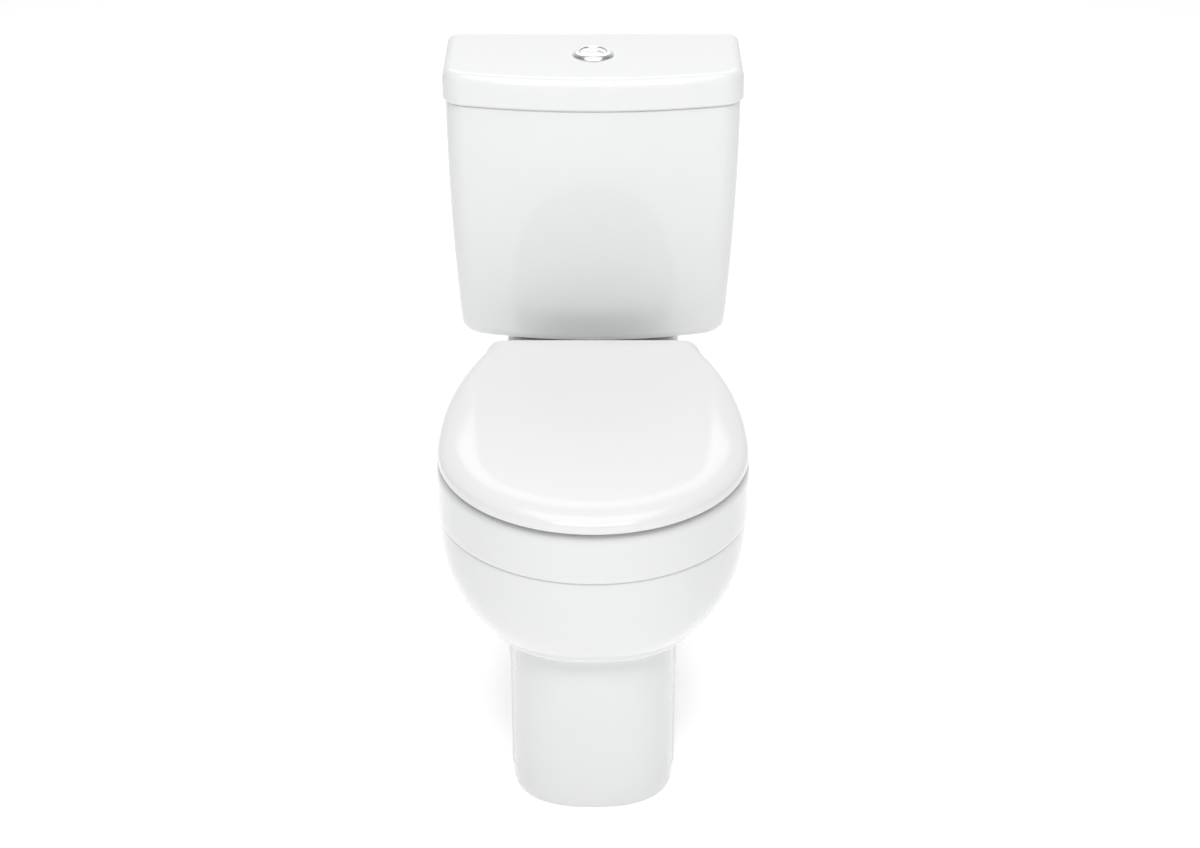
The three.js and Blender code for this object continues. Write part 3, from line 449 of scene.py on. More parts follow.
def pan_plan(s, z, inset, across=9, along=64):
    """Plan of the pan's outside at heights z: an upright band, a bowl that tucks in to a lip and a pedestal.
    The bowl is drawn in by the mean of a 2.9th power and a quarter circle of the fall below the band. The
    half-width is the larger of an egg and the deck, with points crowded towards the front and the back."""
    z, inset = column(z), column(inset)
    tuck = np.clip((s.band - z) / (s.band - s.lip), 0, 1)
    below = z < s.lip
    step = np.where(z < s.band, s.step, 0.0)
    drawn_in = (tuck**2.9 + 1 - np.sqrt(1 - tuck**2)) / 2
    half = np.where(below, s.foot_width / 2, mix(s.width / 2 - step, s.lip_width / 2, drawn_in)) - inset
    front = np.where(below, s.foot_front, mix(s.front - step, s.lip_front, tuck**3)) - inset
    widest = np.where(below, s.foot_widest, s.widest)
    squareness = np.where(below, 2.5, 2 + 0.5 * tuck)
    rise = np.clip((z - 0.120) / 0.210, 0, 1) ** 1.5
    back = mix(s.foot_back, s.deck_back, rise) + inset
    deck = mix(s.foot_width / 2 - 0.006, s.deck_width / 2, rise) - inset
    sweep = np.where(below, 0.9, s.rear_sweep) - inset
    turn = np.linspace(0, np.pi, along)[None, :]
    depth = back + (front - back) * (1 - np.cos(turn)) / 2
    straight = deck - DECK_CORNER + corner_reach(depth - back, DECK_CORNER)
    egg = egg_half(depth, half, widest, front, sweep, squareness)
    behind = ease((depth - back) / 0.12)
    side = smooth_max(egg * behind, straight, 0.010)
    x = np.where(depth > widest, egg, side)
    x[:, -1] = 0.0
    return flat_backed(x, depth, across)


def bowl_turns(s, edge):
    """Angles round the bowl that face each point of the rim's outer edge, seen from the bowl's middle."""
    middle_depth, reach = (s.bowl_front + s.bowl_back) / 2, (s.bowl_front - s.bowl_back) / 2
    facing = np.arctan2(edge[:, 0], middle_depth - (WALL - edge[:, 1]))
    turn = np.arctan2(np.sin(facing) / (s.bowl_width / 2), np.cos(facing) / reach)
    turn[0], turn[-1] = 0.0, np.pi
    return turn[None, :]


def bowl_plan(s, z, turn, outset=0.0):
    """Plan of the bowl's inside at heights z: an ellipse that is wide at the rim and narrow at the sump."""
    z = column(z)
    t = np.clip((z - s.sump_floor) / (PAN_TOP - 0.020 - s.sump_floor), 0, 1)
    half = mix(s.sump_width / 2, s.bowl_width / 2, t**0.72) + outset
    centre = mix(s.sump_depth, (s.bowl_front + s.bowl_back) / 2, t**1.1)
    reach = mix(s.sump_width / 2, (s.bowl_front - s.bowl_back) / 2, t**0.8) + outset
    return both_sides(half * np.sin(turn), centre - reach * np.cos(turn))


def trap_rows(s, turn):
    """Rings round the trap's way: straight runs between a few points, smoothed by a moving mean, with each
    ring square to the way."""
    low = s.sump_floor + s.trap_radius - 0.022
    route = np.array([
        (s.sump_depth + 0.006, low + 0.040), (s.sump_depth - 0.008, low - 0.008),
        (s.sump_depth - 0.050, low - 0.024), (s.sump_depth - 0.088, low - 0.010),
        (s.sump_depth - 0.122, low + 0.030),
        (s.sump_depth - 0.142, s.outlet_height + 0.022), (s.sump_depth - 0.172, s.outlet_height + 0.002),
        (s.outlet_depth + 0.045, s.outlet_height), (s.outlet_depth, s.outlet_height)])
    runs = np.concatenate([[0.0], np.cumsum(np.hypot(*np.diff(route, axis=0).T))])
    even = np.linspace(0, runs[-1], 241)
    way = np.stack([np.interp(even, runs, route[:, i]) for i in (0, 1)], 1)
    after = np.arange(1, TRAP_WINDOW // 2)[:, None]
    lead, tail = way[0] - after[::-1] * (way[1] - way[0]), way[-1] + after * (way[-1] - way[-2])
    way = np.concatenate([lead, way, tail])
    window = np.hanning(TRAP_WINDOW)[1:-1] / np.hanning(TRAP_WINDOW).sum()
    path = np.stack([np.convolve(way[:, i], window, "valid") for i in (0, 1)], 1)[6::6]
    path[-1] = route[-1]
    ahead = np.gradient(path, axis=0)
    ahead /= np.linalg.norm(ahead, axis=1, keepdims=True)
    ahead[-3:] = (-1.0, 0.0)
    t = np.linspace(0.04, 1, len(path))
    up = np.stack([-ahead[:, 1], ahead[:, 0]], 1)
    radius = mix(s.sump_width / 2 - 0.002, s.trap_radius, ease(t * 3))[:, None]
    x = radius * np.sin(turn)
    reach = -radius * np.cos(turn)
    plan = both_sides(x, path[:, :1] + reach * up[:, :1])
    z = both_sides(x, path[:, 1:] + reach * up[:, 1:])[1]
    return stacked(plan, z)


def pan_heights(s):
    """Heights and insets of the rows from the floor to the rim's outer edge, closest where the shape turns.
    Along the lip runs a bead, a sine of the 0.62nd power of its height."""
    lip, band_low = s.lip, s.band
    foot = [(0.0, 0.0025), (0.0008, 0.0012), (0.0025, 0.0)]
    shaft = [(z, 0.0) for z in np.linspace(0.012, lip - 0.012, 22)]
    neck = [(lip - 0.006, 0.0), (lip - 0.003, -0.0006), (lip - 0.0012, -0.002), (lip - 0.0002, -0.005)]
    edge = [(lip + 0.00001, 0.006), (lip + 0.0003, 0.0030), (lip + 0.0010, 0.0010)]
    swell = np.linspace(0.14, 1, 12)
    bead = [(lip + s.bead_height * t, -s.bead * math.sin(math.pi * t**0.62) ** 1.2) for t in swell]
    bowl = [(lip + (band_low - lip) * t, 0.0) for t in np.linspace(0.12, 1, 34)[:-1] ** 1.05]
    crease = [(-0.0012, 0.0002), (-0.0003, 0.0008), (0.0001, 0.0014), (0.0008, 0.0004)]
    crease = [(band_low + rise, inset) for rise, inset in crease]
    band = [(z, 0.0) for z in np.linspace(band_low + 0.003, PAN_TOP - RIM_ROUND, 10)]
    turn = np.linspace(0.1, np.pi / 2, 8)
    rim = [(PAN_TOP - RIM_ROUND * (1 - math.sin(a)), RIM_ROUND * (1 - math.cos(a))) for a in turn]
    return np.array(foot + shaft + neck + edge + bead + bowl + crease + band + rim)


def pan_sheet(s):
    """One sheet over the pan: up the outside, over the rim, down the bowl and through the trap."""
    rows = pan_heights(s)
    outside = stacked(pan_plan(s, rows[:, 0], rows[:, 1]), rows[:, :1])
    columns = outside.shape[1] // 2 + 1
    edge = outside[-1]
    quarter_turn = np.linspace(0, np.pi / 2, 7)
    straight = np.linspace(PAN_TOP - 0.016, s.sump_floor + 0.045, 40)
    inner_z = np.concatenate([PAN_TOP - BOWL_ROUND * (1 - np.cos(quarter_turn)), straight])
    outset = np.concatenate([BOWL_ROUND * (1 - np.sin(quarter_turn)), np.zeros(len(straight))])
    turn = bowl_turns(s, edge[:columns])
    bowl = stacked(bowl_plan(s, inner_z, turn, outset[:, None]), inner_z[:, None])
    share = np.linspace(0, 1, 8)[1:-1, None, None]
    flat = mix(edge[None], bowl[0][None], share)
    return np.concatenate([outside, flat, bowl, trap_rows(s, turn)])


def pan_openings(s, grid, quads):
    """Which faces are left out: the outlet's bore, the opening in the back and the flushing water's hole."""
    columns, outside_rows = grid.shape[1], len(pan_heights(s)) - 1
    x, y, z = grid.reshape(-1, 3)[quads].mean(1).T
    row, col = np.divmod(np.arange(len(quads)), columns)
    bore = (np.hypot(x, z - s.outlet_height) < s.trap_radius + 0.002) & (y > at_depth(0.2))
    access = (np.minimum(col, columns - 1 - col) < ACCESS_COLUMNS) & (z > ACCESS_LOW) & (z < ACCESS_HIGH)
    deck = (row >= outside_rows) & (z > PAN_TOP - 0.001)
    flush = deck & (np.hypot(x, y - BUTTON_AT.y) < FLUSH_HOLE)
    return (row < outside_rows) & (bore | access) | flush


class TOILET_OT_pan(bpy.types.Operator):
    """Build the china pan: pedestal, bowl, rim, trap and outlet, cast with one wall thickness"""

    bl_idname = "toilet.pan"
    bl_label = "Pan"

    def execute(self, context):
        s = context.scene.toilet_pan
        grid = pan_sheet(s)
        rows, columns = grid.shape[:2]
        quads = quad_faces(rows, columns, False)
        quads = quads[~pan_openings(s, grid, quads)][:, ::-1]
        pan = new_piece("pan_china", grid.reshape(-1, 3), quads.tolist(), "suite", ["pan"], "glaze", 50)
        wall = pan.modifiers.new("china_wall", "SOLIDIFY")
        wall.thickness = s.wall
        wall.offset = -1.0
        return {"FINISHED"}


# ---------- Cistern ----------

def tank_plan(c, half, front, inset, rows_of=(7, 9, 10, 12, 20)):
    """Plan of a tank: a flat back, quarter-round corners, straight sides, softer corners and a front bowed as
    a parabola. These are five runs from the back's middle to the front's, mirrored."""
    levels = max(np.size(half), np.size(inset))
    half, front, inset = (np.broadcast_to(column(v), (levels, 1)) for v in (half, front, inset))
    full = half
    half, front = half - inset, front - inset
    back_r = np.maximum(c.back_corner - inset * 0.6, 0.002)
    front_r = np.maximum(c.corner - inset * 0.6, 0.006)

    def bow(x):
        return front - c.bow * (x / full) ** 2

    straight, arc1, side, arc2, nose = (np.linspace(0, 1, n)[None, :] for n in rows_of)
    x1, d1 = (half - back_r) * straight, inset + 0 * straight
    x2 = half - back_r + back_r * np.sin(arc1 * np.pi / 2)
    d2 = inset + back_r * (1 - np.cos(arc1 * np.pi / 2))
    corner_d = bow(half)
    x3, d3 = half + 0 * side, mix(inset + back_r, corner_d - front_r, side)
    start, end = (half, corner_d - front_r), (half - front_r, bow(half - front_r))
    keep = 0.55
    first = (half, corner_d - front_r + keep * front_r)
    last = (mix(end[0], half, keep), mix(end[1], corner_d, keep))
    weights = ((1 - arc2) ** 3, 3 * arc2 * (1 - arc2) ** 2, 3 * arc2**2 * (1 - arc2), arc2**3)
    x4 = sum(w * p[0] for w, p in zip(weights, (start, first, last, end)))
    d4 = sum(w * p[1] for w, p in zip(weights, (start, first, last, end)))
    x5 = (half - front_r) * (1 - nose)
    d5 = bow(x5)
    x = np.concatenate([x1, x2[:, 1:], x3[:, 1:], x4[:, 1:], x5[:, 1:]], 1)
    depth = np.concatenate([d1, d2[:, 1:], d3[:, 1:], d4[:, 1:], d5[:, 1:]], 1)
    return both_sides(x, depth)


def quarter(radius, steps, rising):
    """Insets and rises of a quarter-round edge, from the flat to the upright, or back if not rising."""
    t = np.linspace(0, np.pi / 2, steps)
    pairs = np.stack([radius * (1 - np.sin(t)), radius * (1 - np.cos(t))], 1)
    return pairs if rising else pairs[::-1]


class TOILET_OT_cistern(bpy.types.Operator):
    """Build the cistern: an open china tank, tapered, with a bowed front and rounded edges"""

    bl_idname = "toilet.cistern"
    bl_label = "Cistern"

    def execute(self, context):
        c = context.scene.toilet_cistern
        low, high = TANK_LOW.z, TANK_HIGH.z
        top_half, top_depth = TANK_HIGH.x, WALL - TANK_LOW.y

        def rows(z, inset):
            fall = np.clip((high - z) / (high - low), 0, 1) ** 2
            plan = tank_plan(c, top_half - c.taper / 2 * fall, top_depth - c.depth_taper * fall, inset)
            return stacked(plan, z[:, None])

        bottom = quarter(c.edge, 9, True)
        rim = 0.002
        rim_rise, rim_inset = quarter(rim, 4, True)[1:, 1], quarter(rim, 4, False)[1:, 0]
        side = np.linspace(low + 0.03, high - rim, 16)
        outer_z = np.concatenate([low + bottom[:, 1], side, high - rim + rim_rise])
        outer_inset = np.concatenate([bottom[:, 0], np.zeros(len(side)), rim_inset])
        floor = low + c.wall + 0.001
        bend = quarter(0.012, 6, False)
        inside_wall = np.linspace(high - 0.01, floor + 0.02, 12)
        inner_z = np.concatenate([[high, high - rim], inside_wall, floor + bend[:, 1]])
        inner_inset = np.concatenate([[c.wall - rim, c.wall], np.full(12, c.wall), c.wall + bend[:, 0]])
        shrink = np.array([0.8, 0.5, 0.2])[:, None, None]
        outer = rows(outer_z, outer_inset)
        inner = rows(inner_z, inner_inset)

        def spine(ring):
            """The middle of a ring, repeated, which a flat underside or floor closes to."""
            level = np.full(len(ring), ring[:, 1].mean())
            return np.stack([0 * level, level, ring[:, 2]], -1)

        below = mix(spine(outer[0])[None], outer[0][None], shrink[::-1])
        inside = mix(spine(inner[-1])[None], inner[-1][None], shrink)
        points, faces = skin(np.concatenate([below, outer, inner, inside]))
        new_piece("cistern_china", points, faces, "suite", ["cistern_body"], "glaze")
        return {"FINISHED"}


class TOILET_OT_cistern_lid(bpy.types.Operator):
    """Build the cistern's lid: a soft-edged china slab with a rib underneath and a hole for the button"""

    bl_idname = "toilet.cistern_lid"
    bl_label = "Cistern Lid"

    def execute(self, context):
        c = context.scene.toilet_cistern
        seam, top, rib_low = TANK_HIGH.z + 0.0003, LID_HIGH.z, LID_LOW.z
        half, depth = LID_HIGH.x, WALL - LID_LOW.y
        e = c.lid_edge
        edge = quarter(e, 12, True)
        nose = quarter(0.0025, 5, True)
        rib_out = c.overhang + c.wall + 0.003
        path = [(top - 0.0005 * (1 - t), i) for t, i in ((0.0, e + 0.03), (0.6, e + 0.010))]
        path += [(top - drop - 0.0002, inset) for inset, drop in zip(edge[:, 0], edge[:, 1])]
        path += [(z, 0.0) for z in np.linspace(top - e - 0.002, seam + 0.004, 5)]
        path += [(seam + 0.0025 - rise, inset) for inset, rise in zip(nose[::-1, 0], nose[:, 1])]
        rib = [
            (seam, -0.002), (seam, 0.0), (rib_low + 0.001, 0.0), (rib_low, 0.001), (rib_low, 0.004),
            (rib_low + 0.001, 0.005), (top - 0.016, 0.005), (top - 0.011, 0.008), (top - 0.010, 0.013),
        ]
        path += [(z, rib_out + further_in) for z, further_in in rib]
        z, inset = np.array(path).T
        shell = stacked(tank_plan(c, half, depth, inset), z[:, None])
        ring = shell[0] - np.array([BUTTON_AT.x, BUTTON_AT.y, 0])
        angle = np.arctan2(ring[:, 1], ring[:, 0])
        circle = np.stack([BUTTON_HOLE * np.cos(angle), BUTTON_HOLE * np.sin(angle), 0 * angle], -1)
        circle = circle + np.array([BUTTON_AT.x, BUTTON_AT.y, 0])
        top_ring = circle + np.array([0, 0, top])
        low_ring = circle + np.array([0, 0, top - 0.010])
        share = np.linspace(0, 1, 9)[1:-1, None, None]
        flat_top = mix(top_ring[None], shell[0][None], share)
        flat_low = mix(shell[-1][None], low_ring[None], share)
        grid = np.concatenate([top_ring[None], flat_top, shell, flat_low, low_ring[None]])
        points, faces = skin(grid, close_rows=True)
        new_piece("cistern_lid_china", points, faces, "cistern_lid", ["cistern_lid"], "glaze")
        return {"FINISHED"}


# ---------- Flush button ----------

SPLIT_ANGLE = math.radians(150)
BUTTON_HOLE = 0.0205
BORE, SLEEVE = 0.0172, 0.0192  # the bezel's inner and outer radius


def button_outline(radius, gap, count=48):
    """Outline of one button: half a circle closed by an S-shaped split, a sine wave along the diameter."""
    turn = np.linspace(0, np.pi, count, endpoint=False)
    arc = np.stack([radius * np.cos(turn), radius * np.sin(turn)], 1)
    along = np.linspace(-1, 1, count, endpoint=False)
    wave = 0.22 * radius * np.sin(np.pi * along)
    split = np.stack([radius * along, wave], 1)
    outline = np.concatenate([arc, split])
    outline[:, 1] += gap / 2 * (1 - (outline[:, 1] / radius).clip(0, 1))
    return outline


class TOILET_OT_button(bpy.types.Operator):
    """Build the chromed flush button: a domed bezel and two buttons split by an S-shaped line"""

    bl_idname = "toilet.button"
    bl_label = "Flush Button"

    def execute(self, context):
        low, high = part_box("button_bezel")
        depth = WALL - BUTTON_AT.y
        flange = (high.x - low.x) / 2
        face = LID_HIGH.z + 0.0003
        outward = np.linspace(1, 0, 14)
        lip, step = BORE + 0.0008, face + 0.0006
        outer = [(mix(lip, flange, t), mix(high.z, step, t**2.2)) for t in outward]
        inner = [(BORE + 0.0003, high.z - 0.0002), (BORE, high.z - 0.0007)]
        profile = [(SLEEVE, low.z), (SLEEVE, face), (flange - 0.0004, face), *outer, *inner, (BORE, low.z)]
        points, faces = turned(profile, BUTTON_AT.x, depth, 128, closed=True)
        new_piece("bezel_chrome", points, faces, "cistern_lid", ["button_bezel"], "chrome", 40)
        for name, turn in (("full_flush", SPLIT_ANGLE - math.pi), ("half_flush", SPLIT_ANGLE)):
            node_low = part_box(f"{name}_button")[0]
            outline = button_outline(BORE - 0.0005, 0.0009)
            spin = np.array([[math.cos(turn), math.sin(turn)], [-math.sin(turn), math.cos(turn)]])
            outline = outline @ spin
            centre = outline.mean(0)
            crest = high.z - 0.0004
            steps = [
                (1.0, node_low.z + 0.001), (1.0, crest - 0.0012), (0.985, crest - 0.0006),
                (0.95, crest - 0.0003), (0.8, crest - 0.0001), (0.5, crest), (0.2, crest),
            ]
            level = np.ones(len(outline))
            rows = [np.column_stack([centre + (outline - centre) * k, z * level]) for k, z in steps]
            grid = np.stack([rows[0] * np.array([0.4, 0.4, 1]) + np.array([*(centre * 0.6), 0])] + rows)
            grid = grid + np.array([BUTTON_AT.x, BUTTON_AT.y, 0])
            cap = skin(grid)
            stem_at = middle(f"{name}_push_rod")
            stem = turned(rounded(0.0044, node_low.z, crest - 0.008, 0.0006), stem_at.x, WALL - stem_at.y, 32)
            new_piece(f"{name}_cap", *joined(cap, stem), name, [f"{name}_button"], "chrome", 40)
        return {"FINISHED"}


# ---------- Seat ----------

HINGE_ROUND = 0.006  # the round ends about the hinge's axis
EAR_WIDTH = 0.012
POST_WIDTH = 0.016
LID_EAR_X = 0.0925
SEAT_ARM_X = 0.0625
LID_CORNER = 0.006
LID_MIDDLE = 0.44  # the depth that the lid's rows close to
LIFT_START, LIFT_LENGTH = 0.242, 0.024  # where the lid's edge rises to clear the hinges
NOSE_START = 0.340  # the depth at which the lid starts to fall towards its front
SIDE_START = 0.090  # and the distance from the middle at which it starts to fall to its sides
REAR_SQUARENESS = 2.25


def lid_plan(s, inset, reach, back, along=60, across=8):
    """Plan of the seat's lid: an egg cut off square at the back, drawn in by an inset and by a reach that is
    shorter towards the hinges."""
    inset, reach, back = column(inset), column(reach), column(back)
    p = bpy.context.scene.toilet_pan
    front = WALL - SEAT_LOW.y - inset - reach
    turn = np.linspace(0, np.pi, along)[None, :]
    depth = back + (front - back) * (1 - np.cos(turn)) / 2
    drawn = inset + reach * mix(0.3, 1.0, np.clip((depth - s.back) / s.narrowing, 0, 1))
    x = egg_half(depth, s.width / 2 - drawn, p.widest, front, s.rear_sweep - drawn, 2.0, REAR_SQUARENESS)
    x[:, -1] = 0.0
    x = x - LID_CORNER + corner_reach(depth - back, LID_CORNER)
    return flat_backed(x, depth, across)


def crown(s, x, depth):
    """How far the lid's top has fallen: by a power of 2.2 towards the nose and a square law to the sides."""
    front = WALL - SEAT_LOW.y
    nose = np.clip((depth - NOSE_START) / (front - s.shoulder - NOSE_START), 0, None) ** 2.2
    side = np.clip((np.abs(x) - SIDE_START) / (s.width / 2 - SIDE_START), 0, None) ** 2
    return s.nose_fall * nose + s.side_fall * side


def lid_surface(s, top, inset, back, angles, lift_to):
    """Rows of the lid's dome at a height: the shoulder is a quarter ellipse from the crown down to the brow,
    and the whole is squashed up at the back, where the hinges need room."""
    reach = s.shoulder * (1 - np.sin(angles))
    x, depth = lid_plan(s, np.full_like(reach, inset), reach, back + 0.3 * reach)
    height = top - crown(s, x, depth)
    brow = SEAT_LOW.z + s.skirt
    z = height - (1 - np.cos(angles))[:, None] * (height - brow)
    return stacked((x, depth), raised(z, height, depth, lift_to))


def raised(z, height, depth, lift_to):
    """Heights squashed up under the lid's top at the back, so that the edge there stands at lift_to."""
    low = SEAT_LOW.z
    lift = ease((LIFT_START - depth) / LIFT_LENGTH) * (lift_to - low)
    return height - (height - z) * (height - low - lift) / (height - low)


def inner_rows(s, ring, top, shares):
    """Rows that close the dome from its shoulder's start, a ring of points, to the middle of the lid."""
    x, depth = ring[:, 0] * shares, LID_MIDDLE + (WALL - ring[:, 1] - LID_MIDDLE) * shares
    return stacked((x, depth), top - crown(s, x, depth))


class TOILET_OT_seat_lid(bpy.types.Operator):
    """Build the seat's lid: a gently domed shell whose broad shoulder and skirt wrap over the seat"""

    bl_idname = "toilet.seat_lid"
    bl_label = "Seat Lid"

    def execute(self, context):
        s = context.scene.toilet_seat
        low, top = SEAT_LOW.z, SEAT_HIGH.z
        roof = top - s.plate - s.dome
        lift = roof - 0.0002
        angles = np.linspace(0, np.pi / 2, 18)
        outside = lid_surface(s, top, 0.0, s.back, angles, lift)
        inside = lid_surface(s, roof, s.wall, s.back + 0.001, angles[::-2], lift + 0.0001)
        shares = np.array([0.03, 0.12, 0.25, 0.4, 0.55, 0.7, 0.82, 0.92])[:, None]
        crest = inner_rows(s, outside[0], top, shares)
        under = inner_rows(s, inside[-1], roof, shares[::-1])

        def skirt(inset, rise):
            x, depth = lid_plan(s, [inset], [0.0], [s.back + min(inset, 0.001)])
            height = top - crown(s, x, depth)
            return stacked((x, depth), raised(low + rise, height, depth, lift))

        outer_edge = [(0.0, 0.004), (0.0, 0.002), (0.0005, 0.0006), (0.0016, 0.0)]
        inner_edge = [(s.wall - 0.0014, 0.0), (s.wall - 0.0003, 0.0006), (s.wall, 0.002)]
        edge = [skirt(inset, rise) for inset, rise in outer_edge + inner_edge]
        shell = skin(np.concatenate([crest, outside, *edge, inside, under]))
        ears = [ear_shape(sign * LID_EAR_X) for _, sign in SIDES]
        new_piece("lid_shell", *joined(shell, *ears), "seat_lid", ["seat_lid"], "seat_plastic", 45)
        return {"FINISHED"}


def ear_shape(x):
    """A hinge ear: an upright plate with a round foot about the hinge's axis."""
    axis = middle("hinge_pin_left")
    r = HINGE_ROUND
    foot = arc_about(axis, r, np.pi, 2 * np.pi, 17)
    top = np.array([[axis.y + r, axis.z + 0.008], [axis.y - r, axis.z + 0.008]])
    outline = np.concatenate([foot, top])
    steps = [(-0.5, 0.3), (-0.5, 0.92), (-0.44, 1.0), (0.44, 1.0), (0.5, 0.92), (0.5, 0.3)]
    return swept(outline, x, EAR_WIDTH, steps)


class TOILET_OT_seat_ring(bpy.types.Operator):
    """Build the seat: a rounded ring with an egg-shaped hole and two hinge arms"""

    bl_idname = "toilet.seat_ring"
    bl_label = "Seat Ring"

    def execute(self, context):
        s = context.scene.toilet_seat
        inset = s.wall + s.clearance
        outer_x, outer_d = lid_plan(s, [inset], [0.0], [s.ring_back])
        columns = outer_x.shape[1] // 2 + 1
        turn = np.linspace(0, np.pi, columns)[None, :]
        centre, reach = (s.hole_front + s.hole_back) / 2, (s.hole_front - s.hole_back) / 2
        inner_x, inner_d = both_sides(s.hole_width / 2 * np.sin(turn), centre - reach * np.cos(turn))
        t = np.linspace(0, 2 * np.pi, 36, endpoint=False)[:, None]
        across = 0.5 + 0.5 * np.sign(np.cos(t)) * np.abs(np.cos(t)) ** 0.5
        rise = 0.5 + 0.5 * np.sign(np.sin(t)) * np.abs(np.sin(t)) ** 0.85
        x = mix(inner_x, outer_x, across)
        depth = mix(inner_d, outer_d, across)
        low = RING_LOW.z
        high = low + s.thickness - 0.65 * crown(s, x, depth) - 0.0015 * (1 - across) ** 2
        z = low + (high - low) * rise
        ring = skin(stacked((x, depth), z), close_rows=True)
        arms = [arm_shape(sign * SEAT_ARM_X, s.ring_back + 0.012) for _, sign in SIDES]
        new_piece("seat_ring_moulding", *joined(ring, *arms), "seat_ring", ["seat_ring"], "seat_plastic", 40)
        for name in ("front_left", "front_right", "rear_left", "rear_right"):
            buffer_piece(f"ring_buffer_{name}", "seat_ring")
        for side, _ in SIDES:
            buffer_piece(f"lid_buffer_{side}", "seat_lid")
        return {"FINISHED"}


def buffer_piece(node, body):
    """A round rubber buffer with soft edges in place of a node."""
    low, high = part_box(node)
    at = (low + high) / 2
    radius = (high.x - low.x) / 2
    shape = turned(rounded(radius, low.z, high.z, min(0.0014, (high.z - low.z) * 0.4)), at.x, WALL - at.y, 40)
    new_piece(f"{node}_pad", *shape, body, [node], "rubber", 40)


def arm_shape(x, reach):
    """A seat's hinge arm: a bar with a round end about the hinge's axis, running forwards into the seat."""
    axis = middle("hinge_pin_left")
    end = arc_about(axis, HINGE_ROUND, -np.pi / 2, np.pi / 2, 15)
    y_front = at_depth(reach)
    root = np.array([[y_front, axis.z + 0.0035], [y_front, axis.z - 0.005]])
    upper = np.array([[axis.y - 0.004, axis.z + 0.0045]])
    outline = np.concatenate([end, upper, root])
    steps = [(-0.5, 0.3), (-0.5, 0.94), (-0.45, 1.0), (0.45, 1.0), (0.5, 0.94), (0.5, 0.3)]
    return swept(outline, x, EAR_WIDTH, steps)


class TOILET_OT_hinges(bpy.types.Operator):
    """Build the chromed hinge posts that hold the seat and the lid to the deck"""

    bl_idname = "toilet.hinges"
    bl_label = "Hinges"

    def execute(self, context):
        for side, _ in SIDES:
            node = f"hinge_post_{side}"
            at, foot = middle(node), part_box(node)[0].z
            axis = middle(f"hinge_pin_{side}")
            r = HINGE_ROUND - 0.0005
            base = np.array([[axis.y - r, foot + 0.0015], [axis.y + r, foot + 0.0015]])
            outline = np.concatenate([arc_about(axis, r, 0, np.pi, 21), base])
            half_steps = [(0.42, 1.0), (0.47, 0.97), (0.5, 0.9), (0.5, 0.2)]
            steps = [(-share, scale) for share, scale in half_steps[::-1]] + half_steps
            block = swept(outline, at.x, POST_WIDTH, steps)
            flange = turned(rounded(0.013, foot, foot + 0.0025, 0.001), at.x, WALL - at.y, 64)
            new_piece(f"{node}_chrome", *joined(block, flange), "suite", [node], "chrome", 40)
        return {"FINISHED"}


# ---------- Fittings ----------

class TOILET_OT_fittings(bpy.types.Operator):
    """Finish the valves, bolts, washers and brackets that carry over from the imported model"""

    bl_idname = "toilet.fittings"
    bl_label = "Fittings"

    def execute(self, context):
        slots = {row["node"]: row["material_slot"] for row in frame["record"]["subparts"]}
        for node, piece in frame["nodes"].items():
            if piece.hide_render:
                continue
            piece.data.materials.clear()
            piece.data.materials.append(finish_of(slots[node]))
        return {"FINISHED"}


# ---------- Studio ----------

CAMERA_LENS, SENSOR_WIDTH = 70.15, 36.0  # in millimetres
CAMERA_SHIFT = 0.0057
CAMERA_DEPTH, CAMERA_HEIGHT = 2.8826, 1.7371
CAMERA_TILT = 28.02  # degrees below level


def add_area(name, place, aim, width, height, power):
    light = bpy.data.lights.new(name, "AREA")
    light.shape, light.size, light.size_y, light.energy = "RECTANGLE", width, height, power
    lamp = bpy.data.objects.new(name, light)
    lamp.location = place
    lamp.rotation_euler = (Vector(aim) - Vector(place)).to_track_quat("-Z", "Y").to_euler()
    bpy.context.scene.collection.objects.link(lamp)


def soft_room(strengths):
    """A white room whose sides, front, back and ceiling have their own brightness, blended by the square of
    the direction's parts."""
    world = bpy.data.worlds.new("white_room")
    world.use_nodes = True
    nodes, link = world.node_tree.nodes, world.node_tree.links.new
    direction, square = nodes.new("ShaderNodeTexCoord"), nodes.new("ShaderNodeVectorMath")
    square.operation = "MULTIPLY"
    link(direction.outputs["Generated"], square.inputs[0])
    link(direction.outputs["Generated"], square.inputs[1])
    parts = nodes.new("ShaderNodeSeparateXYZ")
    link(direction.outputs["Generated"], parts.inputs[0])
    behind = nodes.new("ShaderNodeMath")
    behind.operation = "GREATER_THAN"
    behind.inputs[1].default_value = 0.0
    link(parts.outputs["Y"], behind.inputs[0])
    side, front, back, ceiling = strengths
    share = nodes.new("ShaderNodeMix")
    share.data_type = "VECTOR"
    share.inputs[4].default_value = (side, front, ceiling)
    share.inputs[5].default_value = (side, back, ceiling)
    link(behind.outputs[0], share.inputs[0])
    total = nodes.new("ShaderNodeVectorMath")
    total.operation = "DOT_PRODUCT"
    link(square.outputs[0], total.inputs[0])
    link(share.outputs[1], total.inputs[1])
    link(total.outputs["Value"], nodes["Background"].inputs["Strength"])
    nodes["Background"].inputs["Color"].default_value = (1, 1, 1, 1)
    return world


